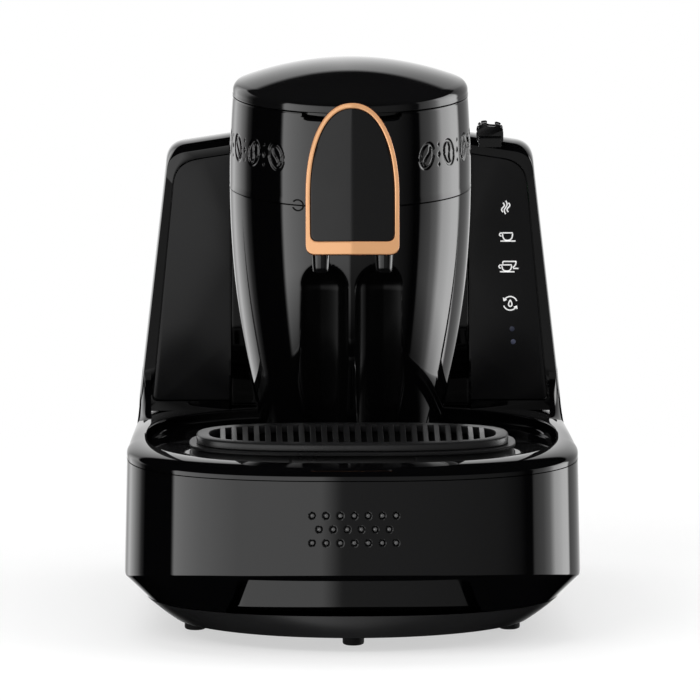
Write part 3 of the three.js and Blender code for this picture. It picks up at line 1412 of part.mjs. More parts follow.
function tankLid() {
  const [low, high] = [tankLidBottomZ, tankLidBottomZ + tankLidThickness];
  const rim = (inset, z) => tankRing(tankTopHalfWidth + tankLidOverhang, tankTopRearY + tankLidOverhang, inset, z);
  let cover = lofted([rim(0, low), rim(0, high - tankLidOverhang), rim(tankLidOverhang / 2, high)]);
  const lipRing = (inset, z) => tankRing(tankTopHalfWidth, tankTopRearY, tankWall + 2 * fit + inset, z);
  const lip = lofted([lipRing(0, low - tankLidLip), lipRing(0, low + fit)])
    .subtract(lofted([lipRing(tankLidLip / 2, low - tankLidLip - overrun), lipRing(tankLidLip / 2, low)]));
  for (const side of [-1, 1]) {
    const [x0, x1] = tankEar(side);
    cover = cover.subtract(box(x0 - 2 * fit, x1 + 2 * fit, tankTopRearY - tankWall / 2 - 2 * fit,
      tankHingeY + overrun, low - overrun, high + overrun));
  }
  const knuckle = tankHingeRod(tankHingeRadius, -tankKnuckleHalf, tankKnuckleHalf);
  const web = box(-tankKnuckleHalf, tankKnuckleHalf, tankHingeY - 2 * tankHingeRadius, tankHingeY,
    high - tankLidThickness / 2, tankHingeZ + tankPinRadius);
  const tongue = joined(
    rod(latchBarrelRadius, [latchX - tongueHalfWidth, latchPinY, latchPinZ],
      [latchX + tongueHalfWidth, latchPinY, latchPinZ]),
    box(latchX - tongueHalfWidth, latchX + tongueHalfWidth, latchPinY, tankFrontY + 2 * tongueRiser,
      latchPinZ - tongueHalfThickness, latchPinZ + tongueHalfThickness),
    box(latchX - tongueHalfWidth, latchX + tongueHalfWidth, tankFrontY + tongueRiser, tankFrontY + 2 * tongueRiser,
      low, latchPinZ + tongueHalfThickness));
  cover = joined(cover, lip, knuckle, web, tongue);
  return cover.subtract(tankHingeRod(tankPinRadius + fit, -tankFootHalfWidth, tankFootHalfWidth))
    .subtract(rod(latchPinRadius + fit, [latchX - latchHalfWidth, latchPinY, latchPinZ],
      [latchX + latchHalfWidth, latchPinY, latchPinZ], 12));
}

const tankLidPin = () => tankHingeRod(tankPinRadius, tankEar(-1)[0] + fit, tankEar(1)[1] - fit);

// The catch that hooks over the wing's top edge, with two small horns for the fingertip.
function tankLatch() {
  const [x0, x1] = [latchX - latchHalfWidth, latchX + latchHalfWidth];
  const lipBack = wingFrontY - latchLipGap;
  const lipFront = lipBack - latchLipThickness;
  const endRadius = latchEndRadius;
  const roofLow = latchPinZ + endRadius;
  const roofTop = roofLow + latchRoof;
  const shape = new THREE.Shape();
  shape.moveTo(lipFront, latchLipZ);
  shape.lineTo(lipBack, latchLipZ);
  shape.lineTo(lipBack, latchPinZ - endRadius);
  shape.lineTo(latchPinY, latchPinZ - endRadius);
  shape.absarc(latchPinY, latchPinZ, endRadius, -Math.PI / 2, Math.PI / 2);
  shape.lineTo(latchPinY, roofTop);
  shape.lineTo(lipFront + latchLipThickness, roofTop);
  shape.quadraticCurveTo(lipFront, roofTop, lipFront, roofTop - latchLipThickness);
  const slot = box(x0 + latchCheek, x1 - latchCheek, lipBack, latchPinY + 2 * endRadius,
    latchPinZ - 2 * endRadius, roofLow);
  let latch = sideways(shape, x0, x1, 6).subtract(slot);
  const hornShape = new THREE.Shape();
  const hornLow = roofTop - latchRoof / 2;
  hornShape.moveTo(0, hornLow);
  hornShape.lineTo(latchCheek, hornLow);
  hornShape.quadraticCurveTo(latchCheek, roofTop + latchHornHeight / 2, latchCheek * 2, roofTop + latchHornHeight);
  hornShape.quadraticCurveTo(0, roofTop + latchHornHeight * hornBulgeShare, 0, hornLow);
  const hornDepth = [lipFront + latchLipThickness, (lipFront + latchPinY) / 2];
  const horn = facing(hornShape, ...hornDepth);
  const left = solid(geometryOf(horn).translate(x0, 0, 0));
  const right = solid(geometryOf(mirrored(horn)).translate(x1, 0, 0));
  latch = joined(latch, left, right);
  return latch.subtract(rod(latchPinRadius + fit, [x0 - overrun, latchPinY, latchPinZ],
    [x1 + overrun, latchPinY, latchPinZ], 12));
}

const latchPin = () => rod(latchPinRadius, [latchX - latchHalfWidth + fit, latchPinY, latchPinZ],
  [latchX + latchHalfWidth - fit, latchPinY, latchPinZ], 12);

function tankValve() {
  const floorZ = tankBottomZ + tankWall + fit;
  const stemZ = deckTopZ - nozzleLength + fit;
  return turned([
    [0, stemZ], [valveStemRadius, stemZ], [valveStemRadius, floorZ], [valveHeadRadius, floorZ],
    [valveHeadRadius * valveSeatShare, floorZ + valveHeadThickness], [0, floorZ + valveHeadThickness],
  ], nozzleX, nozzleY, 14);
}

function valveGasket() {
  const [inner, outer] = [nozzleRadius + fit, nozzleRadius + fit + gasketSection];
  const [low, high] = [deckTopZ - shellWall, deckTopZ];
  return turned([[inner, low], [outer, low], [outer, high], [inner, high], [inner, low]], nozzleX, nozzleY, 20);
}

// Assembly

place('base_pan', basePan(), satinBlack());
place('base_shell', baseShell(), glossBlack());
for (const [where, x, y] of footPlaces) place(`foot_${where}`, foot(x, y), rubber());
for (const [where, x, y] of screwPlaces) place(`base_screw_${where}`, screw(x, y), steel());
place('main_board', mainBoardBody(), boardGreen());
place('power_supply', powerSupply(), satinBlack());
place('pump', pump(), steel());
place('pump_mount_left', pumpMount(-1), rubber());
place('pump_mount_right', pumpMount(1), rubber());
place('suction_hose', suctionHose(), hosePlastic());
place('delivery_hose', deliveryHose(), hosePlastic());
place('buzzer', buzzer(), satinBlack());
place('switch_bezel', switchBezel(), satinBlack());
place('power_switch', powerSwitch(), glossBlack());
place('cord_gland', cordGland(), satinBlack());

place('upper_housing', upperHousing(), glossBlack());
place('left_panel', panel(-1), satinBlack());
place('control_panel', panel(1, [ledHole(ledUpperX, ledUpperZ), ledHole(ledLowerX, ledLowerZ)]), satinBlack());
place('touch_board', touchBoard(), boardGreen());
place('status_led_upper', led(ledUpperX, ledUpperZ), lens());
place('status_led_lower', led(ledLowerX, ledLowerZ), lens());

place('tower_lower', towerLower(), glossBlack());
place('tower_upper', towerUpper(), glossBlack());
place('lid', lid(), glossBlack());
place('lid_gasket', lidGasket(), seal());
place('lid_hinge_pin', lidHingePin(), steel());
place('brew_pot', brewPot(), steel());
place('pot_gasket', potGasket(), seal());
place('pot_heater', potHeater(), steel());
place('heat_shield', heatShield(), steel());
place('temperature_sensor', temperatureSensor(), steel());
place('transfer_tube', transferTube(), hosePlastic());
place('badge_frame', badgeFrame(), copper());
place('badge_insert', badgeInsert(), insertBlack());
place('spout_head', spoutHead(), glossBlack());
place('spout_left', spout(-spoutX), satinBlack());
place('spout_right', spout(spoutX), satinBlack());

place('drip_tray', dripTray(), satinBlack());
place('cup_grille', cupGrille(), satinBlack());

place('water_tank', waterTank(), smoke());
place('tank_valve', tankValve(), seal());
place('valve_gasket', valveGasket(), rubber());
place('tank_lid', tankLid(), glossBlack());
place('tank_lid_pin', tankLidPin(), steel());
place('tank_latch', tankLatch(), glossBlack());
place('latch_pin', latchPin(), steel());

export default group;
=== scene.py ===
import math

import bmesh
import bpy
import numpy as np
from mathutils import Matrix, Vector


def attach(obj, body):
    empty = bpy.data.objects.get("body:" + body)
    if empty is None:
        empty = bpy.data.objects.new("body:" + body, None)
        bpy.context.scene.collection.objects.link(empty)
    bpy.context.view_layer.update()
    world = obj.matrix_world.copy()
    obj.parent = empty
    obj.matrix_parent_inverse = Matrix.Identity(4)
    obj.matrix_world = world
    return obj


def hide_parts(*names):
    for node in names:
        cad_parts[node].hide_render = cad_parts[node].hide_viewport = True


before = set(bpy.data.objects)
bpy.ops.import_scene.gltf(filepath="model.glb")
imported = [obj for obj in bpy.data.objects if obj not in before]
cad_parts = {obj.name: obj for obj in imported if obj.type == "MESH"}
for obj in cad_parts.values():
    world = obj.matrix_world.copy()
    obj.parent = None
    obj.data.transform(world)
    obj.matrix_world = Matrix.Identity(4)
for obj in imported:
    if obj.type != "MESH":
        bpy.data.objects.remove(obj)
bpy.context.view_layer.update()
mm = 0.001
print("frame loaded")

# Shared curves. All shapes are worked out in millimetres and put into the mesh in metres.

fineSteps = 24001


def signedPower(value, power):
    # the size raised to the power, with its sign kept
    return np.sign(value) * np.abs(value) ** power


def smoothStep(low, high, value):
    # 0 below, 1 above and 3t^2 - 2t^3 between
    t = np.clip((value - low) / (high - low), 0, 1)
    return t * t * (3 - 2 * t)


def between(a, b, t):
    # a share t of the way from a to b
    return a + (b - a) * t


def spaced(a, b, count):
    # even steps from a, up to but without b
    return np.linspace(a, b, count, endpoint=False)


def fullTurn(count):
    return spaced(0, 2 * math.pi, count)


def quarterTurn(count):
    return np.linspace(0, math.pi / 2, count)


def bothHalves(half):
    # turns of the right half from front to back, then of the left half as its mirror image
    return np.concatenate([half, (math.pi - half[::-1])[1:-1]])


def grid(x, y, z):
    # points from lengths that are single, one for each row or one for each column
    return np.stack(np.broadcast_arrays(x, y, z), axis=-1)


def unit(vectors):
    # the same directions, one long
    return vectors / np.maximum(np.linalg.norm(vectors, axis=1, keepdims=True), 1e-9)


def bend(a, b, c, t):
    # quadratic arc from a to c that leaves and arrives towards b
    return (1 - t) ** 2 * np.asarray(a) + 2 * t * (1 - t) * np.asarray(b) + t ** 2 * np.asarray(c)


def runs(line):
    # how far along the line each of its points lies
    return np.concatenate([[0], np.cumsum(np.linalg.norm(np.diff(line, axis=0), axis=1))])


def planPoints(oval, inset, turn):
    # x = a cos^(2/n), y = b sin^(2/n), front and back halves with their own n and b; the back narrows with y
    c, s = np.cos(turn), np.sin(turn)
    back = s > 0
    power = np.where(back, 2 / oval["rearPower"], 2 / oval["frontPower"])
    reach = np.where(back, oval["rearReach"], oval["frontReach"])
    lift = np.abs(s) ** power
    x = signedPower(c, power) * (oval["halfWidth"] - inset) * (1 - np.where(back, oval["taper"] * lift, 0))
    return x, oval["middleY"] + np.sign(s) * lift * (reach - inset)


def radiusFrom(oval, inset, centre, angle):
    # distance from a centre to the outline along a ray, read off a finely drawn outline
    turn = np.linspace(-math.pi, math.pi, fineSteps)
    x, y = np.array(planPoints(oval, inset, turn)) - np.array(centre)[:, None]
    bearing = np.arctan2(y, x)
    order = np.argsort(bearing)
    return np.interp(angle, bearing[order], np.hypot(x, y)[order], period=2 * math.pi)


def resampled(points, count, closed=True):
    # the same line with its points evenly spaced along its length
    line = np.vstack([points, points[:1]]) if closed else points
    run = runs(line)
    at = np.linspace(0, run[-1], count + closed)[:count]
    return np.stack([np.interp(at, run, column) for column in line.T], axis=1)


def filleted(corners, radii, steps=6):
    # each corner is swapped for a quadratic arc that starts and ends one radius away
    corners = np.asarray(corners, float)
    reach = np.asarray(radii, float)[:, None]
    start, end = [corners + unit(np.roll(corners, shift, axis=0) - corners) * reach for shift in (1, -1)]
    t = np.linspace(0, 1, steps)[None, :, None]
    return bend(start[:, None], corners[:, None], end[:, None], t).reshape(-1, 2)


def insetLine(line, distance):
    # a closed counter-clockwise line moved inwards along its own normals
    along = unit(np.roll(line, -1, axis=0) - line) + unit(line - np.roll(line, 1, axis=0))
    return line + unit(np.stack([-along[:, 1], along[:, 0]], axis=1)) * distance


# Meshes


def newShell():
    return {"points": [], "faces": [], "count": 0}


def addGrid(shell, points, closeRows=False, closeColumns=True):
    # rows of points joined by four-sided faces
    rows, columns = points.shape[:2]
    index = shell["count"] + np.arange(rows * columns).reshape(rows, columns)
    if closeRows:
        index = np.vstack([index, index[:1]])
    if closeColumns:
        index = np.hstack([index, index[:, :1]])
    quads = np.stack([index[:-1, :-1], index[:-1, 1:], index[1:, 1:], index[1:, :-1]], axis=-1)
    shell["points"].append(points.reshape(-1, 3))
    shell["faces"] += quads.reshape(-1, 4).tolist()
    shell["count"] += rows * columns
    return shell


def addCap(shell, ring):
    # one face across a closed ring
    shell["points"].append(ring)
    shell["faces"].append(list(range(shell["count"], shell["count"] + len(ring))))
    shell["count"] += len(ring)
    return shell


def capped(shell, points):
    # a stack of closed rings with both ends shut
    addGrid(shell, points)
    addCap(shell, points[0])
    return addCap(shell, points[-1])


def prism(shell, outline, low, high, edge, place, steps=3):
    # a flat outline carried from low to high, its two rims rounded over by a quarter circle
    turn = quarterTurn(steps + 1)
    drawIn = np.concatenate([edge * (1 - np.sin(turn)), edge * (1 - np.cos(turn))])
    height = np.concatenate([low + edge * (1 - np.cos(turn)), high - edge * (1 - np.sin(turn))])
    return capped(shell, np.stack([place(insetLine(outline, d), h) for d, h in zip(drawIn, height)]))


def inPlan(line, z):
    return grid(line[:, 0], line[:, 1], z)


def facing(line, y):
    return grid(line[:, 0], y, line[:, 1])


def sideways(line, x):
    return grid(x, line[:, 0], line[:, 1])


def turnedRings(profile, x, y, steps):
    # a profile of radii and heights turned round an upright axis
    radius, height = np.asarray(profile, float).T[..., None]
    turn = fullTurn(steps)
    return grid(x + radius * np.cos(turn), y + radius * np.sin(turn), height)


def addRod(shell, radius, x0, x1, y, z, edge=0.4):
    # a rod along x with bevelled ends
    radii = np.array([0, radius - edge, radius, radius, radius - edge, 0])[:, None]
    along = np.array([x0, x0, x0 + edge, x1 - edge, x1, x1])[:, None]
    turn = fullTurn(32)
    return addGrid(shell, grid(along, y + radii * np.cos(turn), z + radii * np.sin(turn)))


def addDome(shell, x, y, z, radius, rise, rings, steps, root):
    # it stands out by a cosine of the distance from its middle, and its rim is carried back by the root
    out, turn = np.linspace(0, 1, rings)[::-1, None], fullTurn(steps)
    dome = grid(x + radius * out * np.cos(turn), y - rise * np.cos(out * math.pi / 2),
                z + radius * out * np.sin(turn))
    return capped(shell, np.concatenate([dome[:1] + np.array([0, root, 0]), dome]))


def cleaned(mesh, dissolve):
    # doubles merged, needless edges dissolved, faces turned outwards
    work = bmesh.new()
    work.from_mesh(mesh)
    bmesh.ops.remove_doubles(work, verts=work.verts, dist=0.004 * mm)
    dissolve(work)
    bmesh.ops.recalc_face_normals(work, faces=work.faces)
    work.to_mesh(mesh)
    work.free()
    return mesh


def dressed(mesh, body, material, nodes, sharpAngle, bevel=0):
    piece = bpy.data.objects.new(mesh.name, mesh)
    bpy.context.scene.collection.objects.link(piece)
    mesh.materials.clear()
    mesh.materials.append(material)
    mesh.shade_smooth()
    mesh.set_sharp_from_angle(angle=math.radians(sharpAngle))
    if bevel:
        edges = piece.modifiers.new("edges", "BEVEL")
        edges.width = bevel * mm
        edges.segments = 2
        edges.limit_method = "ANGLE"
        edges.angle_limit = math.radians(sharpAngle)
    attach(piece, body)
    if nodes:
        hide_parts(*nodes)
    return piece


def makePiece(name, shell, nodes, sharpAngle, material, body="housing"):
    mesh = bpy.data.meshes.new(name)
    mesh.from_pydata((np.concatenate(shell["points"]) * mm).tolist(), [], shell["faces"])
    cleaned(mesh, lambda work: bmesh.ops.dissolve_degenerate(work, edges=work.edges, dist=0.002 * mm))
    return dressed(mesh, body, material, nodes, sharpAngle)


def smoothCopy(name, node, body, material, bevel):
    # a merged copy of a small solid, with its edges rounded over
    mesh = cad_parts[node].data.copy()
    mesh.name = name
    cleaned(mesh, lambda work: bmesh.ops.dissolve_limit(work, angle_limit=math.radians(1), verts=work.verts,
                                                        edges=work.edges))
    return dressed(mesh, body, material, (node,), 32, bevel)


# Materials


def addNode(nodes, kind, inputs=None, **settings):
    node = nodes.new("ShaderNode" + kind)
    for name, value in settings.items():
        setattr(node, name, value)
    for name, value in (inputs or {}).items():
        node.inputs[name].default_value = value
    return node


def join(links, *quartets):
    # each quartet is a node and its output, then a node and its input
    for source, output, target, entry in quartets:
        links.new(source.outputs[output], target.inputs[entry])


def grey(level):
    return level, level, level, 1


def mouldedFinish(name, colour, roughness, spread, grain=0.0, grainScale=900, metallic=0.0, shine=0.5):
    # a moulded or plated face: faint haze in its gloss and tone, and a fine grain in its surface
    material = bpy.data.materials.new(name)
    material.use_nodes = True
    nodes, links = material.node_tree.nodes, material.node_tree.links
    shader = nodes["Principled BSDF"]
    shader.inputs["Metallic"].default_value = metallic
    shader.inputs["Specular IOR Level"].default_value = shine
    place = addNode(nodes, "TexCoord")
    haze = addNode(nodes, "TexNoise", {"Scale": 22, "Detail": 4})
    low, high = max(roughness - spread, 0.02), roughness + spread
    level = addNode(nodes, "MapRange", {"From Min": 0.3, "From Max": 0.7, "To Min": low, "To Max": high})
    darker, lighter = [(*[min(c * share, 1) for c in colour], 1) for share in (0.9, 1.1)]
    tone = addNode(nodes, "Mix", {"A": darker, "B": lighter}, data_type="RGBA")
    join(links, (place, "Object", haze, "Vector"), (haze, "Fac", level, "Value"),
         (haze, "Fac", tone, "Factor"), (level, "Result", shader, "Roughness"),
         (tone, "Result", shader, "Base Color"))
    if grain:
        speck = addNode(nodes, "TexNoise", {"Scale": grainScale, "Detail": 3})
        bump = addNode(nodes, "Bump", {"Strength": grain, "Distance": 0.1 * mm})
        join(links, (place, "Object", speck, "Vector"), (speck, "Fac", bump, "Height"),
             (bump, "Normal", shader, "Normal"))
    return material


def paintEdgeShade(material, colour, reach):
    # painted shade: faces that turn away from the eye go over to a deeper colour
    nodes, links = material.node_tree.nodes, material.node_tree.links
    shader = nodes["Principled BSDF"]
    tone = shader.inputs["Base Color"].links[0].from_node
    facingShare = addNode(nodes, "LayerWeight", {"Blend": 0.5})
    share = addNode(nodes, "MapRange", {"From Min": reach[0], "From Max": reach[1]})
    mix = addNode(nodes, "Mix", {"B": (*colour, 1)}, data_type="RGBA")
    join(links, (facingShare, "Facing", share, "Value"), (share, "Result", mix, "Factor"),
         (tone, "Result", mix, "A"), (mix, "Result", shader, "Base Color"))


glossBlack = mouldedFinish("glossBlackMoulding", (0.0014, 0.0014, 0.0016), 0.04, 0.014)
# painted shade: the niches' faces take this weakly shining black so that they look shaded; the seam ring's
# line uses it as its own finish
nicheShadeAndRingBlack = mouldedFinish("dullBlackNicheShadeAndRing", (0.0016, 0.0016, 0.0017), 0.16, 0.03, shine=0.1)
pianoBlack = mouldedFinish("glossBlackCover", (0.004, 0.004, 0.0042), 0.06, 0.02)
satinBlack = mouldedFinish("satinBlackMoulding", (0.011, 0.011, 0.0115), 0.32, 0.05, 0.3)
panelBlack = mouldedFinish("panelFilm", (0.005, 0.005, 0.0054), 0.22, 0.03, 0.1, 1500, shine=0.26)
copperTrimAndEdgeShade = mouldedFinish("copperPlatingAndEdgeShade", (1.0, 0.5, 0.24), 0.12, 0.03, 0.05, 1600, metallic=0.3, shine=0.6)
# painted shade: the copper goes over to a deep brown where its faces turn away from the eye
paintEdgeShade(copperTrimAndEdgeShade, (0.25, 0.055, 0.02), (0.2, 0.62))
# painted highlight: the beads take a mid grey that stands in for the gleam on their domes
beadHighlightGrey = mouldedFinish("beadPaintedHighlight", (0.12, 0.12, 0.12), 0.3, 0.03, shine=0.6)
insertBlack = mouldedFinish("badgePlate", (0.0035, 0.0035, 0.0037), 0.13, 0.02, 0.06, 1500)
rubberBlack = mouldedFinish("rubber", (0.004, 0.004, 0.0042), 0.75, 0.08, 0.5, 700, shine=0.2)
sealRubber = mouldedFinish("siliconeSeal", (0.5, 0.47, 0.42), 0.5, 0.06, 0.2)
steelPlain = mouldedFinish("stainlessSteel", (0.6, 0.6, 0.6), 0.26, 0.06, 0.2, 1200, metallic=1.0)
tankSmoke = mouldedFinish("smokedTank", (0.012, 0.0125, 0.014), 0.09, 0.03)
boardGreen = mouldedFinish("circuitBoard", (0.02, 0.11, 0.04), 0.4, 0.06, 0.3)
hoseClear = mouldedFinish("siliconeHose", (0.62, 0.6, 0.55), 0.4, 0.05, 0.1)
iconPrintAndPaintedGlow = mouldedFinish("iconPrintAndPaintedGlow", (0.96, 0.96, 0.95), 0.45, 0.03, 0.1)
iconInputs = iconPrintAndPaintedGlow.node_tree.nodes["Principled BSDF"].inputs
# painted glow: the printed signs give no light, yet glow faintly so that their white reads brighter
iconInputs["Emission Color"].default_value = grey(1)
iconInputs["Emission Strength"].default_value = 0.3
print("materials made")

# Sizes that several pieces share

ovalSizes = ("halfWidth", "frontReach", "rearReach", "middleY", "frontPower", "rearPower", "taper")
body, plinth, pan, basin, tray = [dict(zip(ovalSizes, sizes)) for sizes in (
    (120.2, 80, 204, -62, 2.6, 6, 0.112),
    (109.5, 69, 198, -62, 2.3, 5.4, 0.112),
    (94.5, 67.5, 190, -62, 2, 5, 0.112),
    (109, 85, 85, -40, 2.6, 2.6, 0),
    (86.8, 37.5, 37.5, -64.5, 2.8, 2.8, 0))]
tower = {"middleY": 28, "wide": 64.5, "wideZ": 230, "foot": 50.2, "footZ": 105, "top": 62.9, "lidSeamZ": 275,
         "depthShare": 1.07, "wall": 2.4}
deckZ = 101.8
basinZ = 95


def towerHalfWidth(z):
    # widest at one height, and narrower by the square of the distance above and below it
    z = np.asarray(z, float)
    up = np.clip((z - tower["wideZ"]) / (tower["lidSeamZ"] - tower["wideZ"]), 0, None)
    down = np.clip((tower["wideZ"] - z) / (tower["wideZ"] - tower["footZ"]), 0, None)
    above, below = tower["wide"] - tower["top"], tower["wide"] - tower["foot"]
    return tower["wide"] - above * up ** 2 - below * down ** 2


def towerFaceY(x, z, grow=0.0):
    # the front of the tower's oval, or of one that is grown all round
    half = towerHalfWidth(z)
    bow = np.sqrt(np.clip(1 - (x / (half + grow)) ** 2, 0, 1))
    return tower["middleY"] - (half * tower["depthShare"] + grow) * bow


def towerRing(half, z, grow, turn):
    # an oval a little deeper than wide, grown or shrunk by the same amount all round
    deep = half * tower["depthShare"] + grow
    return grid((half + grow) * np.cos(turn), tower["middleY"] + deep * np.sin(turn), z)


# Base shell: band, undercut, finger recess, dimples and the two recesses in the back

bandStyle = {"topZ": 94.4, "flare": 1.3, "edgeZ": 33, "rise": 11, "riseStartY": -80, "plinthZ": 20.3,
             "inner": 26, "gripTop": 41, "gripLowZ": 14, "gripHalf": 62.5, "gripFoot": 70.5, "gripCorner": 6,
             "gripBackY": -118, "halvings": 26, "dimple": 1.85, "bead": 1.2, "beadRadius": 1.08,
             "beadRise": 0.75, "beadSink": 0.6, "pitchX": 7.4, "pitchZ": 7.3, "dimpleZ": 68.9,
             "counts": (7, 6, 7), "dimplesBefore": -130, "recessBehind": 130, "recessZ": 62, "recessX": 40,
             "recessY": 139.9, "switchHalf": (10.3, 14.3), "glandRadius": 9.3, "recessEdge": 0.25,
             "gripBefore": -100}
# where the band's grid has its lines: from, to and step of x in front and of z where the dimples are
bandGrid = {"frontX": ((0, 25, 0.33), (25, 52, 1.5), (52, 76, 0.45)), "rearCount": 170, "fineBehind": 120,
            "fineX": (27, 53), "fineWeight": 5.0, "upperZ": (94.4, 94.2, 92, 88, 84, 81),
            "dimpleZ": (79.5, 45.5, -0.38), "lowest": 0.35}


def bandColumns():
    # turns of the outline, close together where the front has detail and where the back has its recesses
    g = bandGrid
    frontX = np.concatenate([np.arange(*span) for span in g["frontX"]])
    frontTurn = -np.arccos((frontX / body["halfWidth"]) ** (body["frontPower"] / 2))
    fine = np.linspace(frontTurn[-1], math.pi / 2, 60001)
    x, y = planPoints(body, 0, fine)
    nearX, farX = g["fineX"]
    weight = np.where((y > g["fineBehind"]) & (x > nearX) & (x < farX), g["fineWeight"], 1.0)
    load = np.concatenate([[0], np.cumsum(np.diff(runs(np.column_stack([x, y]))) * weight[1:])])
    rest = np.interp(np.linspace(0, load[-1], g["rearCount"]), load, fine)
    return bothHalves(np.concatenate([frontTurn, rest[1:]]))


def dimplePlaces():
    # x and z of each dimple: evenly pitched rows, each of them centred
    s = bandStyle
    return [((i - (count - 1) / 2) * s["pitchX"], s["dimpleZ"] + (1 - row) * s["pitchZ"])
            for row, count in enumerate(s["counts"]) for i in range(count)]


def makeBaseShell():
    # one closed loop of rows: down the band, the undercut and the recess, and up again inside
    s, g = bandStyle, bandGrid
    turn = bandColumns()
    topX, topY = planPoints(body, 0, turn)
    edgeX, edgeY = planPoints(body, -s["flare"], turn)
    footX, footY = planPoints(plinth, 0, turn)
    frontEdge = body["middleY"] - body["frontReach"] - s["flare"]
    edgeZ = s["edgeZ"] + s["rise"] / (s["riseStartY"] - frontEdge) * np.maximum(0, s["riseStartY"] - edgeY)
    footZ = s["plinthZ"]
    # band: straight lines from the top outline to the flared lower outline
    heights = np.concatenate([g["upperZ"], np.arange(*g["dimpleZ"])])
    share = (s["topZ"] - heights)[:, None] / (s["topZ"] - edgeZ)
    lower = between(share[-1], 1, np.linspace(0, 1, 7)[1:, None])
    lower[-1] = 1 - g["lowest"] / (s["topZ"] - edgeZ)
    share = np.vstack([share, lower])
    x, y, z = between(topX, edgeX, share), between(topY, edgeY, share), between(s["topZ"], edgeZ, share)
    # dimples: a ring groove round a low bead, pressed into the front
    depth = np.zeros_like(x)
    for dimpleX, dimpleZ in dimplePlaces():
        r = np.hypot(x - dimpleX, z - dimpleZ)
        pressed = 0.2 + np.clip(r / s["bead"], 0, 1) ** 2.2
        pressed *= 1 - smoothStep(s["bead"] + 0.15, s["dimple"] + 0.1, r)
        depth += np.where(y < s["dimplesBefore"], pressed, 0)
    y = y + depth
    # the two recesses in the back wall
    acrossHalf, upHalf = s["switchHalf"]
    switchGap = np.maximum(np.abs(x - s["recessX"]) - acrossHalf, np.abs(z - s["recessZ"]) - upHalf)
    glandGap = np.hypot(x + s["recessX"], z - s["recessZ"]) - s["glandRadius"]
    sink = 1 - smoothStep(-s["recessEdge"], s["recessEdge"], np.minimum(switchGap, glandGap))
    y = np.where(y > s["recessBehind"], between(y, s["recessY"], sink), y)
    # undercut: straight lines from the lower outline to the plinth, opened by the recess
    slope = (s["gripTop"] - s["gripCorner"] - s["gripLowZ"]) / (s["gripFoot"] - s["gripHalf"])
    near, upTo = np.zeros_like(turn), np.ones_like(turn)
    for halving in range(s["halvings"]):
        middle = (near + upTo) / 2
        past = np.abs(between(edgeX, footX, middle)) - s["gripHalf"]
        arc = np.clip(past / s["gripCorner"] + 1, 0, 1)
        roof = s["gripTop"] - s["gripCorner"] * (1 - np.sqrt(1 - arc ** 2)) - slope * np.maximum(past, 0)
        roof = np.where((edgeY < s["gripBefore"]) & (roof > footZ), roof, footZ)
        above = between(edgeZ, footZ, middle) > roof
        near, upTo = np.where(above, middle, near), np.where(above, upTo, middle)
    t = np.concatenate([[0.015], np.linspace(0.06, 1, 12)])[:, None] * upTo
    undercut = grid(between(edgeX, footX, t), between(edgeY, footY, t), between(edgeZ, footZ, t))
    lipX, lipY, lipZ = undercut[-1].T
    # the recess's back wall bends as the band does
    wallY = np.where(between(edgeZ, footZ, upTo) > footZ + 0.05, s["gripBackY"] + edgeY - frontEdge, lipY)
    rows = [grid(lipX, between(lipY, wallY, q), lipZ) for q in (0.03, 0.5, 0.97)]
    rows += [grid(lipX, wallY, between(lipZ, footZ, q)) for q in (0.03, 0.35, 0.7, 0.985)]
    rows += [grid(lipX, between(wallY, footY, 0.04), footZ), grid(footX, footY, footZ)]
    rows.append(grid(*planPoints(plinth, s["inner"], turn), footZ))
    rows.append(grid(*planPoints(body, s["inner"], turn), s["topZ"]))
    shell = addGrid(newShell(), np.concatenate([grid(x, y, z), undercut, np.stack(rows)]), closeRows=True)
    return makePiece("baseShell", shell, ("base_shell",), 38, glossBlack)


def makeBandBeads():
    # low domes in the dimples; their mid grey is a painted highlight
    s = bandStyle
    turn = np.linspace(-math.pi / 2, -0.9, 400)
    top, edge = np.array(planPoints(body, 0, turn)), np.array(planPoints(body, -s["flare"], turn))
    shell = newShell()
    for x, z in dimplePlaces():
        lineX, lineY = between(top, edge, (s["topZ"] - z) / (s["topZ"] - s["edgeZ"] - s["rise"]))
        y = np.interp(abs(x), lineX, lineY) + s["beadSink"]
        addDome(shell, x, y, z, s["beadRadius"], s["beadRise"], 7, 24, 1.3)
    return makePiece("bandBeads", shell, (), 60, beadHighlightGrey)


makeBaseShell()
makeBandBeads()
print("base shell made")

# Pan skirt and feet

panStyle = {"topZ": 19.95, "bottomZ": 8, "wall": 3, "grow": 0.05, "swell": 0.6, "swellY": -30}
footStyle = {"tread": 4.7, "radius": 5.75, "top": 7.7, "stem": 2.6, "stemTop": 10.7,
             "places": (("frontFoot", "foot_front", 0, -104), ("leftFoot", "foot_left", -83.7, -58),
                        ("rightFoot", "foot_right", 83.7, -58), ("rearLeftFoot", "foot_rear_left", -64, 92),
                        ("rearRightFoot", "foot_rear_right", 64, 92))}


def makePanSkirt():
    # straight from the plinth outline to the smaller bottom outline, with a slight swell
    s = panStyle
    turn = bandColumns()[::2]
    t = np.concatenate([[0, 0.01], np.linspace(0.08, 0.9, 9), [0.96, 0.99, 1.0]])[:, None]
    topX, topY = planPoints(plinth, -s["grow"], turn)
    lowX, lowY = planPoints(pan, -s["grow"], turn)
    swell = np.sin(math.pi * t) * s["swell"] / np.hypot(lowX, lowY - s["swellY"])
    x, y = between(topX, lowX, t) + lowX * swell, between(topY, lowY, t) + (lowY - s["swellY"]) * swell
    inner = planPoints(pan, s["wall"], turn)
    rows = [grid(*inner, s["topZ"])[None], grid(x, y, between(s["topZ"], s["bottomZ"], t)),
            grid(*inner, s["bottomZ"])[None]]
    shell = addGrid(newShell(), np.concatenate(rows), closeRows=True)
    return makePiece("panSkirt", shell, (), 50, satinBlack)


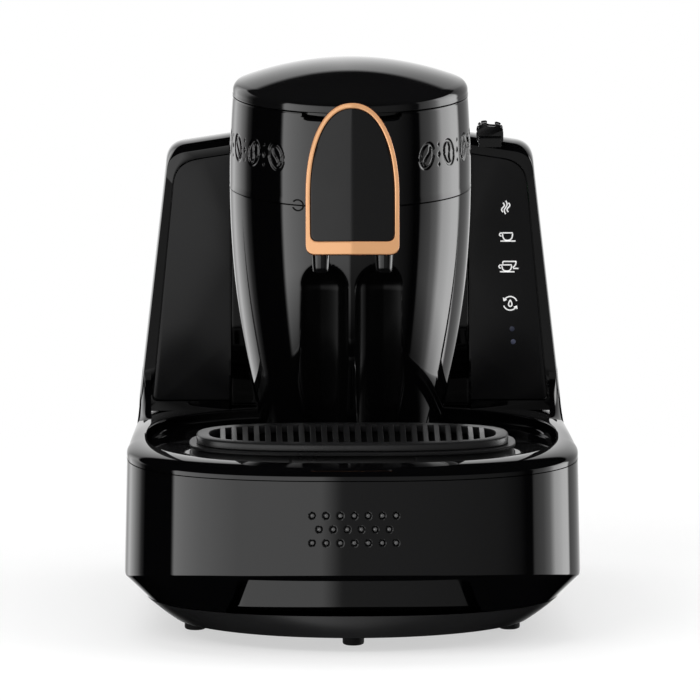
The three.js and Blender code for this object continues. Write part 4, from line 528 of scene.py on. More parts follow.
def makeFoot(name, node, x, y):
    # tread, groove, body and stem turned round an upright axis
    s = footStyle
    tread, radius, top = s["tread"], s["radius"], s["top"]
    profile = [(0, 0), (tread - 1.2, 0), (tread - 1.0, 0.5), (tread - 0.5, 0.5), (tread, 0.1),
               (radius - 0.25, 0.5), (radius, 1.2), (radius, top - 0.4), (radius - 0.4, top),
               (s["stem"], top), (s["stem"], s["stemTop"]), (0, s["stemTop"])]
    shell = addGrid(newShell(), turnedRings(profile, x, y, 48))
    return makePiece(name, shell, (node,), 40, rubberBlack)


makePanSkirt()
for place in footStyle["places"]:
    makeFoot(*place)
print("pan and feet made")

# Rim, basin and tray well

rimStyle = {"lowZ": 94.7, "drop": 5.2, "innerRound": 0.9, "fillet": 3.0, "wellInset": 7.4,
            "wellFootInset": 13.4, "wellZ": 79.4, "centre": (0, -50), "columns": 420, "edge": 0.25,
            "under": 3}


def makeRim():
    # rings round one centre: up the face, over a ledge that is a quarter ellipse in section, down the basin
    # wall, across its floor and into the tray well
    s = rimStyle
    line = np.column_stack(planPoints(body, 0, np.linspace(-math.pi, math.pi, 40001)))
    ring = resampled(line[:-1], s["columns"]) - np.array(s["centre"])
    angle = np.arctan2(ring[:, 1], ring[:, 0])
    outer = lambda inset: radiusFrom(body, inset, s["centre"], angle)
    inner = lambda inset: radiusFrom(basin, inset, s["centre"], angle)
    well = lambda inset: radiusFrom(tray, inset, s["centre"], angle)
    low, lip, fillet = s["lowZ"], s["innerRound"], s["fillet"]
    edge, brink, floor, gap = outer(0), inner(-lip), inner(fillet), well(s["wellInset"])
    rows = [(outer(s["under"]), low), (outer(s["edge"]), low), (edge, low + s["edge"])]
    rows += [(between(brink, edge, math.cos(a)), deckZ - s["drop"] * (1 - math.sin(a)))
             for a in quarterTurn(23)[:-1]]
    rows += [(inner(-lip * (1 - math.sin(a))), deckZ - lip * (1 - math.cos(a))) for a in quarterTurn(7)]
    rows += [(inner(fillet * (1 - math.cos(a))), basinZ + fillet * (1 - math.sin(a))) for a in quarterTurn(6)]
    rows += [(between(floor, gap, q), basinZ) for q in (0.1, 0.5, 0.97)]
    rows += [(gap, basinZ - 0.4), (well(s["wellFootInset"]), s["wellZ"])]
    centreX, centreY = s["centre"]
    points = np.stack([grid(centreX + r * np.cos(angle), centreY + r * np.sin(angle), z) for r, z in rows])
    return makePiece("rimAndBasin", capped(newShell(), points), ("upper_housing",), 38, glossBlack)


makeRim()
print("rim made")

# Wings with their flared feet, and the panels set into them

wingStyle = {"innerX": 64, "slopeX": 66, "frontY": 38, "backY": 60, "topZ": 249.2, "slope": 0.155,
             "lowZ": 94.7, "footHalf": 114.6, "topHalf": 97.6, "bottomZ": 100.5, "corner": 9,
             "footCorner": 0.01, "edge": 1.6, "frontEdge": 4.0, "frontReach": 15, "sideShare": 0.22,
             "footEase": 0.35, "footGap": 0.3, "counts": (12, 8, 60, 14, 60, 50), "crowd": 1.4,
             "notch": (68.2, 81.8, 246.9)}
flareStyle = {"reach": 34, "rise": 20, "innerX": 106.9, "footX": 106.5, "ledgeWide": 21, "under": (5, 6),
              "ahead": (14, 8, 3), "sink": (0.5, 0.25, 0.06), "rows": 30, "widen": 1.5, "shiftFrom": 0.35}
panelStyle = {"frontY": 38.6, "thick": 2.0, "topInset": 8.6, "sideInsetTop": 4.6, "sideInsetFoot": 7.2,
              "bottomZ": 107, "corner": 12, "footCorner": 3.5, "edge": 0.45, "pocket": (0.5, 0.3),
              "pocketDepth": (0.3, 3)}
spineStyle = {"half": 67, "frontY": 57.4, "backY": 105, "low": deckZ - 1.3, "high": 224.85, "edge": 1.8,
              "corners": (3, 4, 4, 3), "columns": 240}


def wingTop(x):
    # the top edge falls outwards in a straight line
    return wingStyle["topZ"] - wingStyle["slope"] * (x - wingStyle["slopeX"])


def wingSide(z):
    # the outer side leans inwards in a straight line
    s = wingStyle
    lean = (s["footHalf"] - s["topHalf"]) / (wingTop(s["topHalf"]) - s["lowZ"])
    return s["footHalf"] - lean * (z - s["lowZ"])


def outlineX(y):
    # half-width of the body's outline behind its widest line
    x, at = planPoints(body, 0, quarterTurn(4001))
    return np.interp(y, at, x)


def wingLine(inner, sideTop, sideFoot, top, bottomZ, corner, footCorner):
    # foot edge, foot corner, outer side, top corner, top edge and inner side, each with its own point count
    s = wingStyle
    counts = s["counts"]
    inX = s["innerX"] + inner
    side = lambda z: wingSide(z) - sideFoot + (sideFoot - sideTop) * (z - bottomZ) / (s["topZ"] - bottomZ)
    over = lambda x: wingTop(x) - top
    curve = lambda a, b, c, count: bend(a, b, c, spaced(0, 1, count)[:, None])
    cornerZ = over(s["topHalf"] - sideTop)
    cornerX, footX, footTopZ, sideTopZ = side(cornerZ), side(bottomZ), bottomZ + footCorner, cornerZ - corner
    topX = cornerX - corner
    sideZ = between(footTopZ, sideTopZ, spaced(0, 1, counts[2]) ** s["crowd"])
    alongX = spaced(topX, inX, counts[4])
    foot = np.column_stack([spaced(inX, footX - footCorner, counts[0]), np.full(counts[0], bottomZ)])
    back = np.column_stack([np.full(counts[5], inX), spaced(over(inX), bottomZ, counts[5])])
    return np.vstack([
        foot, curve((footX - footCorner, bottomZ), (footX, bottomZ), (side(footTopZ), footTopZ), counts[1]),
        np.column_stack([side(sideZ), sideZ]),
        curve((side(sideTopZ), sideTopZ), (cornerX, cornerZ), (topX, over(topX)), counts[3]),
        np.column_stack([alongX, over(alongX)]), back])


def evenWing(inset, sideShare):
    # the wing's outline drawn in, at the sides by a share of the inset
    s, side = wingStyle, inset * sideShare
    return wingLine(side, side, side, inset, s["bottomZ"] + side, s["corner"], s["footCorner"])


def panelLine(grow):
    # the panel's outline within the wing's, grown on all sides
    p = panelStyle
    return wingLine(0, p["sideInsetTop"] - grow, p["sideInsetFoot"] - grow, p["topInset"] - grow,
                    p["bottomZ"] - grow, p["corner"], p["footCorner"])


def makeWing(side, name):
    # drawn in by a quarter circle at the back and a long quarter ellipse in front, then the panel's pocket
    s = wingStyle
    edge, front, frontY, reach = s["edge"], s["frontEdge"], s["frontY"], s["frontReach"]
    rings = [facing(evenWing(edge * (1 - math.sin(a)), 1), s["backY"] - edge * (1 - math.cos(a)))
             for a in quarterTurn(5)]
    rings += [facing(evenWing(front * (1 - math.cos(a)), s["sideShare"]), frontY + reach * (1 - math.sin(a)))
              for a in quarterTurn(17)]
    pocket, floor = [panelLine(grow) for grow in panelStyle["pocket"]]
    pocket[:, 0] = np.maximum(pocket[:, 0], s["innerX"])
    rings.append(facing(pocket, frontY))
    rings += [facing(floor, frontY + depth) for depth in panelStyle["pocketDepth"]]
    x, y, z = np.moveaxis(np.stack(rings), -1, 0)
    x = np.minimum(x, outlineX(y) - s["footGap"] + s["footEase"] * np.maximum(z - deckZ, 0))
    if side > 0:    # the saddle that the latch sits in
        low, high, floorZ = s["notch"]
        z = np.where((x > low) & (x < high), np.minimum(z, floorZ), z)
    return makePiece(name, capped(newShell(), grid(x * side, y, z)), (), 38, glossBlack)


def makeFlare(side, name):
    # a quarter ellipse swept up from the rim into the wing's border; below, its edge follows the rim's crest
    s, w, f = wingStyle, rimStyle, flareStyle
    none = np.zeros((f["rows"], 1))
    a = np.vstack([np.full((3, 1), -math.pi / 2), np.linspace(-math.pi / 2, 0.02, f["rows"])[:, None]])
    ahead, sink = [np.vstack([np.array(f[key])[:, None], none]) for key in ("ahead", "sink")]
    y0 = s["frontY"] - f["reach"] + f["reach"] * np.cos(a) - ahead
    z0 = deckZ + f["rise"] + f["rise"] * np.sin(a)
    k = np.clip(-a / (math.pi / 2), 0, 1) ** f["widen"]
    outerX = between(wingSide(z0), outlineX(y0), k)
    wide = between(s["frontEdge"] * s["sideShare"], f["ledgeWide"], k)
    innerX = between(f["innerX"], f["footX"], smoothStep(f["shiftFrom"], 1, k))
    share = np.concatenate([spaced(0, 0.9, 22), np.cos(np.linspace(0.45, 0, 12))])
    x = between(innerX, outerX, share)
    over = np.clip((x - (outerX - wide)) / wide, 0, 1)
    d = between(s["frontReach"], w["drop"], k) * (1 - np.sqrt(1 - over ** 2))
    x = np.hstack([innerX, x, outerX])
    inwardY, inwardZ = f["rise"] * np.cos(a), f["reach"] * np.sin(a)
    d = np.hstack([f["under"][0] + 0 * a, d, f["under"][1] + 0 * a]) / np.hypot(inwardY, inwardZ)
    y = np.minimum(y0 + d * inwardY, s["frontY"] + s["frontReach"] + 1)
    points = grid(x * side, y, z0 + d * inwardZ - sink)
    makePiece(name, capped(newShell(), points), (), 38, glossBlack).visible_glossy = False


def makePanel(side, name, node):
    # the panel's outline carried forwards, its front rim rounded over by a quarter circle
    p = panelStyle
    rings = [facing(panelLine(0), p["frontY"] + p["thick"])]
    rings += [facing(panelLine(-p["edge"] * (1 - math.cos(a))), p["frontY"] + p["edge"] * (1 - math.sin(a)))
              for a in quarterTurn(4)]
    rings = np.stack(rings) * np.array([side, 1, 1])
    return makePiece(name, capped(newShell(), rings), (node,), 30, panelBlack)


def makeSpine():
    # a rounded rectangle carried upwards
    s = spineStyle
    half, front, back = s["half"], s["frontY"], s["backY"]
    line = filleted([(half, front), (half, back), (-half, back), (-half, front)], s["corners"], 8)
    shell = prism(newShell(), resampled(line, s["columns"]), s["low"], s["high"], s["edge"], inPlan, 4)
    return makePiece("spine", shell, (), 38, glossBlack)


for wingSign, wingName in ((-1, "left"), (1, "right")):
    makeWing(wingSign, wingName + "Wing")
    makeFlare(wingSign, wingName + "Flare")
makePanel(-1, "leftPanel", "left_panel")
makePanel(1, "touchPanel", "control_panel")
makeSpine()

# Printed signs on the touch panel: strokes of even width carried along plain lines

signStyle = {"stroke": 0.7, "thick": 0.14, "root": 0.05, "steam": (83.4, 211.6), "cup": (84.5, 196),
             "cups": (85, 179.5), "rinse": (86, 159.4), "waves": ((-1.35, 2.5), (0.1, 3.6), (1.55, 2.5)),
             "waveWide": 0.75, "cupSizes": (2.7, 1.75), "nearCup": (-0.9, -0.3, 2.6, 1.15), "cupDepth": 0.85,
             "cupPowers": (0.75, 0.8), "ear": (0.7, 0.9, 0.85), "earTurn": (-0.15, 1.05),
             "saucer": (-1.4, 1.6), "rinseRadius": 3.7, "rinseStart": 0.35, "rinseSweep": 2.3,
             "drop": (1.25, 1.75, 1.2, 0.1)}
lightStyle = {"radius": 1.35, "rise": 0.16, "proud": 0.02, "colour": (0.075, 0.085, 0.14),
              "places": (("upperLight", "status_led_upper", 87, 145.5, 0.55),
                         ("lowerLight", "status_led_lower", 87.6, 138.5, 1.0))}


def stroke(shell, x, z, closed=False):
    # the line moved half the stroke to each side, in front of and behind the panel
    s = signStyle
    line = np.column_stack(np.broadcast_arrays(x, z)).astype(float)
    if closed:
        ahead = np.roll(line, -1, axis=0) - np.roll(line, 1, axis=0)
    else:
        ahead = np.gradient(line, axis=0)
    along = unit(ahead)
    side = np.stack([-along[:, 1], along[:, 0]], axis=1) * s["stroke"] / 2
    front, back = panelStyle["frontY"] - s["thick"], panelStyle["frontY"] + s["root"]
    rows = np.stack([facing(line + side, front), facing(line - side, front), facing(line - side, back),
                     facing(line + side, back)])
    if closed:
        return addGrid(shell, rows, closeRows=True)
    return capped(shell, rows.transpose(1, 0, 2))


def cupLines(shell, x, z, size, brim):
    # straight brim, sides that round in to a small foot, an ear on the left and a saucer line
    s = signStyle
    a = np.linspace(math.pi, 0, 25)
    depth = brim + size * s["cupDepth"]
    across, down = s["cupPowers"]
    stroke(shell, x + size * signedPower(np.cos(a), across), z + brim - depth * np.sin(a) ** down,
           closed=True)
    gap, earWide, earHigh = s["ear"]
    b = np.linspace(*s["earTurn"], 15) * math.pi
    stroke(shell, x - size - gap - earWide * np.sin(b), z + brim - earWide + earHigh * np.cos(b))
    left, right = s["saucer"]
    stroke(shell, np.array([x + size * left, x, x + size * right]), z - size)


def makeSigns():
    # steam is three waves, rinsing is a drop in two arrows that follow a circle
    s = signStyle
    shell = newShell()
    x, z = s["steam"]
    u = np.linspace(-1, 1, 25)
    for aside, reach in s["waves"]:
        stroke(shell, x + aside + s["waveWide"] * np.sin(u * math.pi), z + u * reach)
    cupLines(shell, *s["cup"], *s["cupSizes"])
    x, z = s["cups"]
    aside, lift, size, brim = s["nearCup"]
    cupLines(shell, x + aside, z + lift, size, brim)
    # what shows of the cup behind: its brim, its far side and its saucer
    stroke(shell, x + np.array([-3.0, -3.0, -2.9, -2.5, 4.2]), z + np.array([1.5, 2.2, 2.6, 2.7, 2.7]))
    c = np.linspace(0.0, -1.3, 12)
    stroke(shell, x + 1.6 + 2.5 * np.cos(c), z + 2.7 + 3.4 * np.sin(c))
    stroke(shell, x + np.array([2.5, 4.0, 5.4]), z - 1.1)
    x, z = s["rinse"]
    radius = s["rinseRadius"]
    for start in (s["rinseStart"], s["rinseStart"] + math.pi):
        a = np.linspace(start, start + s["rinseSweep"], 24)
        stroke(shell, x + radius * np.cos(a), z + radius * np.sin(a))
        c, n = math.cos(a[-1]), math.sin(a[-1])
        out, along = np.array([1.0, 0, -1.0]), np.array([-1.0, 0.35, -1.0])
        stroke(shell, x + radius * c + out * c - along * n, z + radius * n + out * n + along * c)
    wide, high, power, lift = s["drop"]
    d = fullTurn(32)[::-1]
    stroke(shell, x + wide * np.sin(d) * np.sin(d / 2) ** power, z + lift + high * np.cos(d), closed=True)
    return makePiece("panelSigns", shell, (), 60, iconPrintAndPaintedGlow)


def makeLight(name, node, x, z, level):
    # a low dome with a dark bluish lens
    s = lightStyle
    shell = addDome(newShell(), x, panelStyle["frontY"] - s["proud"], z, s["radius"], s["rise"], 9, 32, 1.2)
    lens = mouldedFinish(name + "Lens", [c * level for c in s["colour"]], 0.3, 0.03, shine=0.3)
    return makePiece(name, shell, (node,), 60, lens)


makeSigns()
for place in lightStyle["places"]:
    makeLight(*place)
print("wings made")

# Tower: lower part with its two niches, the open ring on its joint, collar with the border in relief, lid

nicheStyle = {"x": 16.8, "radius": 16, "depth": 7.5, "topZ": 195, "blend": 0.5, "footZ": 89.3,
              "faceBefore": 25, "faceDepth": (0.35, 4)}
# from, to and step of the grid's lines: x in front, and z up the niches and above them
footGrid = {"frontX": (0, 40, 0.55), "frontOf": 60, "lowest": (95.3, 95.6), "nicheZ": (97, 196, 1.0),
            "upperZ": (198, 224, 3), "highest": (224.6, 224.85), "slim": 0.25, "backY": 57.1}
ringStyle = {"x": -28.8, "z": 225, "radius": 2.9, "line": 0.42, "from": -2.7, "to": 2.5}
collarStyle = {"lowZ": 225.15, "highZ": 274.85, "lip": 0.12, "lipHeight": 0.9, "ledgeZ": 256.7, "ledge": 3,
               "ledgeRadius": 42.6, "wall": 3.8, "notchHalf": 26, "notchDrop": 4.1, "notchDepth": 4.2,
               "notchRound": 3, "ears": ((-18.95, -12.45), (12.45, 18.95)),
               "web": ((90, 268), (98.5, 268), (101.5, 274), (98, 276), (90, 274.5))}
collarGrid = {"plainTurns": (0, 32, 1.0), "borderTurns": (32, 156, 0.42), "rearCount": 16,
              "spans": ((229, 241.6, 2.5), (242, 258.2, 0.42), (260, 270, 2.0)),
              "notchZ": (270.5, 270.9, 271.2, 271.6, 272, 272.5, 273, 273.5)}
borderStyle = {"middleZ": 250, "first": 39.0, "pitch": 15.45, "count": 8, "half": (4.5, 6.6), "tilt": 0.3,
               "line": 0.55, "depth": 0.6, "dot": 0.95, "radius": 66,
               "dots": ((-5.4, 0.6), (0, 1), (5.4, 0.6))}
lidStyle = {"lowZ": 275.15, "rim": 2.4, "shoulder": 5, "shoulderTurn": 60, "topZ": 293.5, "wall": 2.4,
            "skirt": (44.3, 46.7), "skirtZ": (263.7, 279), "barrelHalf": 12,
            "lip": ((0, 0), (0.25, 0.2), (0.7, 0.2), (1.1, 0.1), (1.6, 0)),
            "tail": ((88, 275.3), (97, 275.3), (101.4, 277), (98, 280), (88, 281))}
hinge = {"radius": 4, "y": 98, "z": 276}
potY = 12


def makeTowerFoot():
    # an oval that swells upwards; each niche is a leaning rounded groove, the deeper of the two faces wins
    s, t, g = nicheStyle, tower, footGrid
    front = np.arcsin(np.arange(*g["frontX"]) / g["frontOf"]) - math.pi / 2
    turn = bothHalves(np.concatenate([front, np.linspace(front[-1], math.pi / 2, 60)[1:]]))
    z = np.concatenate([g["lowest"], np.arange(*g["nicheZ"]), np.arange(*g["upperZ"]), g["highest"]])
    z = z[:, None]
    grow = np.zeros_like(z)
    grow[[0, -1]] = -g["slim"]
    x, y, z = np.moveaxis(towerRing(towerHalfWidth(z), z, grow, turn), -1, 0)
    ballZ = s["topZ"] - s["radius"]
    centreAt = lambda h: towerFaceY(s["x"], h) + s["depth"] - s["radius"]
    centreY = between(centreAt(t["footZ"]), centreAt(ballZ),
                      np.clip((z - s["footZ"]) / (ballZ - s["footZ"]), 0, 1))
    square = s["radius"] ** 2 - (np.abs(x) - s["x"]) ** 2 - np.clip(z - ballZ, 0, None) ** 2
    groove = centreY + np.sqrt(np.clip(square, 0, None))
    k = s["blend"]
    mixed = np.maximum(y, groove) + k * np.exp(-np.abs(y - groove) / k) * 0.4
    y = np.minimum(np.where((np.sin(turn) < 0) & (square > 0), mixed, y), g["backY"])
    outer = grid(x, y, z)
    inner = outer[::-3] - grid(np.cos(turn), np.sin(turn), 0) * t["wall"]
    inner[..., 1] = np.minimum(inner[..., 1], g["backY"] - t["wall"])
    shell = addGrid(newShell(), np.concatenate([outer, inner]), closeRows=True)
    foot = makePiece("towerFoot", shell, ("tower_lower",), 42, glossBlack)
    # the niches' faces take a duller, less shiny black: painted shade in the niches
    foot.data.materials.append(nicheShadeAndRingBlack)
    centres = np.empty(len(foot.data.polygons) * 3)
    foot.data.polygons.foreach_get("center", centres)
    x, y, z = centres.reshape(-1, 3).T / mm
    behind = y - towerFaceY(x, z)
    near, beyond = s["faceDepth"]
    inside = (y < s["faceBefore"]) & (behind > near) & (behind < s["depth"] + beyond) & (z < s["topZ"] + 1)
    inside &= np.abs(np.abs(x) - s["x"]) < s["radius"] + 1
    foot.data.polygons.foreach_set("material_index", inside.astype(int))
    return foot


def makeSeamRing():
    # an open ring round the seam, a small circle carried along an arc that lies on the tower's face
    s = ringStyle
    a, b = np.linspace(s["from"], s["to"], 60)[:, None], fullTurn(12)
    out = s["radius"] + s["line"] * np.cos(b)
    x, z = s["x"] + out * np.cos(a), s["z"] + out * np.sin(a)
    points = grid(x, towerFaceY(x, z) - s["line"] * np.sin(b), z)
    return makePiece("seamRing", capped(newShell(), points), (), 60, nicheShadeAndRingBlack)


def borderDepth(degrees, z):
    # coffee-bean ovals that lean in turn, each with a wavy middle line, and dots between neighbours
    s = borderStyle
    depth = np.zeros(np.broadcast(degrees, z).shape)
    across, up = s["half"]
    v = z - s["middleZ"]
    for k in range(s["count"]):
        lean = s["tilt"] * (1 if k % 2 else -1)
        for mirror in (-1, 1):
            u = np.radians(degrees * mirror - s["first"] - s["pitch"] * k) * s["radius"]
            p, q = u * math.cos(lean) + v * math.sin(lean), v * math.cos(lean) - u * math.sin(lean)
            far = np.hypot(p / across, q / up)
            wave = np.where(far < 0.8, np.abs(p - 1.1 * np.sin(q * math.pi / up)), 9)
            near = np.minimum(np.abs(far - 1) * across, wave)
            depth = np.maximum(depth, 1 - smoothStep(s["line"] * 0.5, s["line"] * 1.5, near))
            if k + 1 < s["count"]:
                w = np.abs(u - math.radians(s["pitch"] / 2) * s["radius"])
                for rise, share in s["dots"]:
                    spot = w / (s["dot"] * share) + np.abs(v - rise) / (s["dot"] * share * 1.5)
                    depth = np.maximum(depth, 1 - smoothStep(0.8, 1.2, spot))
    return depth * s["depth"]


def addHingePart(shell, x0, x1, web):
    # a rod on the lid's hinge axis and the web that carries it
    addRod(shell, hinge["radius"], x0, x1, hinge["y"], hinge["z"])
    return prism(shell, web, x0, x1, 0.4, sideways)


def makeCollar():
    # the tower's oval with the border pressed in, a lip at both seams, a notch under the lid's front and an
    # inner ledge with a round hole for the pot
    s, g = collarStyle, collarGrid
    rear = np.linspace(g["borderTurns"][1], 180, g["rearCount"])
    degrees = np.concatenate([np.arange(*g["plainTurns"]), np.arange(*g["borderTurns"]), rear])
    turn = bothHalves(np.radians(degrees) - math.pi / 2)
    degrees = np.degrees(np.arctan2(np.cos(turn), -np.sin(turn)))
    low, high, lip, rise = s["lowZ"], s["highZ"], s["lip"], s["lipHeight"]
    lipSteps = [(0, lip - 0.3), (0.25, lip), (rise * 0.5, lip), (rise * 0.75, lip * 0.5), (rise, 0)]
    bare = [*[np.arange(*span) for span in g["spans"]], g["notchZ"]]
    levels = [(low + up, grow) for up, grow in lipSteps] + [(z, 0) for z in np.concatenate(bare)]
    levels += [(high - up, grow) for up, grow in lipSteps[::-1]]
    z, grow = np.array(levels).T[..., None]
    x, y, z = np.moveaxis(towerRing(towerHalfWidth(z), z, grow - borderDepth(degrees, z), turn), -1, 0)
    corner = s["notchRound"]
    past = np.clip(np.abs(x) - (s["notchHalf"] - corner), 0, None)
    foot = high - s["notchDrop"] + corner - np.sqrt(np.clip(corner ** 2 - past ** 2, 0, None))
    pressed = np.where((past < corner) & (np.sin(turn) < 0), smoothStep(foot - 0.1, foot + 2.6, z), 0)
    y = y + pressed * (s["notchDepth"] + grow)
    ring = lambda h: towerRing(towerHalfWidth(h), h, -s["wall"], turn)
    ledgeRow = ring(s["ledgeZ"])
    bearing = np.arctan2(ledgeRow[:, 1] - potY, ledgeRow[:, 0])
    hole = lambda h: grid(s["ledgeRadius"] * np.cos(bearing), potY + s["ledgeRadius"] * np.sin(bearing), h)
    under = s["ledgeZ"] - s["ledge"]
    rows = np.stack([ring(high), ledgeRow, hole(s["ledgeZ"]), hole(under), ring(under), ring(low)])
    shell = addGrid(newShell(), np.concatenate([grid(x, y, z), rows]), closeRows=True)
    for x0, x1 in s["ears"]:
        addHingePart(shell, x0, x1, filleted(s["web"], [1, 2, 1, 1, 1]))
    return makePiece("collar", shell, ("tower_upper",), 42, glossBlack)


def lidRows(inset, turn):
    # upright rim, then a rounded shoulder, then z falls with the square of the distance from the crown
    s, top = lidStyle, tower["top"]
    rimTop, shoulder, edge = s["lowZ"] + s["rim"], s["shoulder"], math.radians(s["shoulderTurn"])
    edgeX, edgeZ = top - shoulder * (1 - math.cos(edge)), rimTop + shoulder * math.sin(edge)
    if inset:
        profile = [(top, s["lowZ"], -inset)]
    else:
        profile = [(top, s["lowZ"] + up, grow) for up, grow in s["lip"]]
    for a in np.linspace(0, edge, 12):
        drop = inset / 2 if a > 0 else 0
        profile.append((top - shoulder * (1 - math.cos(a)), rimTop + shoulder * math.sin(a) - drop, -inset))
    profile += [(edgeX * q, s["topZ"] - (s["topZ"] - edgeZ) * q * q - inset, -inset * q)
                for q in np.linspace(0.96, 0, 22)]
    half, z, grow = np.array(profile).T[..., None]
    return towerRing(half, z, grow, turn)


def makeLid():
    # two skins of the same rows, a round skirt and the hinge's barrel
    s = lidStyle
    turn = fullTurn(240)
    shell = addGrid(newShell(), np.concatenate([lidRows(s["wall"], turn)[::-1], lidRows(0, turn)]))
    (r0, r1), (z0, z1) = s["skirt"], s["skirtZ"]
    skirt = [(r0, z0), (r1 - 0.3, z0), (r1, z0 + 0.3), (r1, z1), (r0, z1)]
    addGrid(shell, turnedRings(skirt, 0, potY, 96), closeRows=True)
    addHingePart(shell, -s["barrelHalf"], s["barrelHalf"], filleted(s["tail"], [1, 1, 1, 1.5, 1]))
    return makePiece("lidCover", shell, ("lid",), 42, pianoBlack, body="lid")


makeTowerFoot()
makeSeamRing()
makeCollar()
makeLid()
print("tower made")

# Badge, spout head and spouts

badgeStyle = {"half": 25.0, "arch": 50.2, "straight": 31, "power": 2.2, "corner": 5.5, "rim": (2.5, 3, 7.2),
              "insertCorner": 4.2, "gap": 0.3, "thick": 3, "plate": 2.0, "crease": 0.75, "bow": 0.25,
              "y": -69, "z": 203.8, "lean": math.radians(15.5), "round": 0.8, "flat": 0.08, "sunk": 0.4}
spoutHeadStyle = {"inset": 0.7, "edge": ((1.2, 1.2, 0.5, 0.25), (0.85, 0.85, 0.15, 0.15)), "lidZ": 275,
                  "proudAbove": 273, "proud": 1.7, "sunk": 1.4}
spoutStyle = {"x": 16.8, "y": -60, "topZ": 203.5, "tipZ": 193.5, "top": 5, "tip": 4.2, "bore": 2.9}


def archLine(side, top, bottom, corner):
    # straight foot with rounded corners, upright sides and a superellipse arch over them
    s = badgeStyle
    half, rise, straight = s["half"] - side, s["arch"] - top, s["straight"]
    t = spaced(0, 1, 8)[:, None]
    foot = np.column_stack([spaced(-half + corner, half - corner, 30), np.full(30, bottom)])
    rightSide = np.column_stack([np.full(16, half), spaced(bottom + corner, straight, 16)])
    a = np.linspace(0, math.pi, 90)
    power = 2 / s["power"]
    crown = np.column_stack([half * signedPower(np.cos(a), power), straight + rise * np.sin(a) ** power])
    leftSide = np.column_stack([np.full(16, -half), np.linspace(straight, bottom + corner, 17)[1:]])
    rightFoot = bend((half - corner, bottom), (half, bottom), (half, bottom + corner), t)
    leftFoot = bend((-half, bottom + corner), (-half, bottom), (-half + corner, bottom), t)
    return np.vstack([foot, rightFoot, rightSide, crown, leftSide[:-1], leftFoot])


def onBadge(line, out):
    # a point of the badge's plane, and how far it stands out of that plane
    s = badgeStyle
    sine, cosine = math.sin(s["lean"]), math.cos(s["lean"])
    across, up = line[..., 0], line[..., 1]
    return grid(across, s["y"] + up * sine - out * cosine, s["z"] + up * cosine + out * sine)


def badgeFold(line):
    # the middle stands out: a straight fall to each side, and a slight bow
    s = badgeStyle
    aside = np.abs(line[:, 0]) / s["half"]
    return s["crease"] * (1 - aside) + s["bow"] * (1 - aside ** 2)


def makeBadge():
    # trim: up by a quarter circle, over the folded face and down again between two arches;
    # plate: one arch drawn in towards its middle line, with the same fold
    s = badgeStyle
    outer, inner = archLine(0, 0, 0, s["corner"]), archLine(*s["rim"], s["insertCorner"])
    low, high, r = s["gap"], s["gap"] + s["thick"] - s["sunk"], s["round"]
    inward = unit(inner - outer)
    steps = [(outer + inward * r * (1 - math.cos(a)), r * math.sin(a) - r) for a in quarterTurn(5)]
    steps += [(outer + inward * (r + s["flat"]), 0), (inner - inward * (r + s["flat"]), 0)]
    steps += [(inner - inward * r * (1 - math.sin(a)), r * math.cos(a) - r) for a in quarterTurn(5)]
    rings = [onBadge(outer, low), *[onBadge(line, high + fall + badgeFold(line)) for line, fall in steps],
             onBadge(inner, low)]
    trim = addGrid(newShell(), np.stack(rings), closeRows=True)
    makePiece("badgeTrim", trim, ("badge_frame",), 50, copperTrimAndEdgeShade)
    line = archLine(*[length + 0.3 for length in s["rim"]], s["insertCorner"])
    rings = [onBadge(line, low), onBadge(line, low + s["plate"] - 0.3)]
    for q in np.concatenate([[0.985], np.linspace(0.95, 0, 16)]):
        narrow = line * np.array([q, 1])
        rings.append(onBadge(narrow, low + s["plate"] - 0.25 + badgeFold(narrow)))
    plate = addCap(addGrid(newShell(), np.stack(rings)), rings[0])
    makePiece("badgePlate", plate, ("badge_insert",), 50, insertBlack)


def makeSpoutHead():
    # the arch carried straight back until it meets the tower
    s, corner = spoutHeadStyle, badgeStyle["corner"]
    front = onBadge(archLine(s["inset"], s["inset"], 0, corner), 0.0)
    x, y, z = front.T
    backY = towerFaceY(x, np.minimum(z, s["lidZ"]), np.where(z > s["proudAbove"], s["proud"], -s["sunk"]))
    rows = [*[onBadge(archLine(*insets, corner), out) for *insets, out in s["edge"]], front]
    rows += [grid(x, between(y, np.maximum(backY, y + 0.5), q), z) for q in (0.02, 0.33, 0.66, 1.0)]
    return makePiece("spoutHead", capped(newShell(), np.stack(rows)), ("spout_head",), 42, glossBlack)


def makeSpout(name, node, x):
    # a tube that narrows downwards, turned round an upright axis
    s = spoutStyle
    top, topZ, tip, tipZ, bore = [s[size] for size in ("top", "topZ", "tip", "tipZ", "bore")]
    profile = [(0, topZ), (top, topZ), (top - 0.1, topZ - 1.2), (tip + 0.35, tipZ + 3),
               (tip + 0.1, tipZ + 0.5), (tip - 0.2, tipZ), (bore + 0.2, tipZ), (bore, tipZ + 0.3),
               (bore, tipZ + 5.5), (0, tipZ + 5.8)]
    shell = addGrid(newShell(), turnedRings(profile, x, s["y"], 56))
    return makePiece(name, shell, (node,), 42, pianoBlack)


makeBadge()
makeSpoutHead()
makeSpout("leftSpout", "spout_left", -spoutStyle["x"])
makeSpout("rightSpout", "spout_right", spoutStyle["x"])
print("badge made")

# Cup platform

platformStyle = {"lowZ": 95.3, "topZ": 102.7, "lip": 1.7, "waist": 1.5, "recessHalf": 33.5, "recess": 3.0,
                 "recessEdge": 0.6, "sumpZ": 80.3, "grilleLow": 103, "grilleTop": 107, "grilleInset": 3.8,
                 "border": 7, "pitch": 6, "bar": 3, "barClear": 3, "barReach": 1.2, "barDrop": 0.05}


def trayTurns():
    # turns that lie evenly along the tray's outline
    fine = np.linspace(-math.pi, math.pi, fineSteps)
    run = runs(np.column_stack(planPoints(tray, 0, fine)))
    return np.interp(spaced(0, run[-1], 320), run, fine)


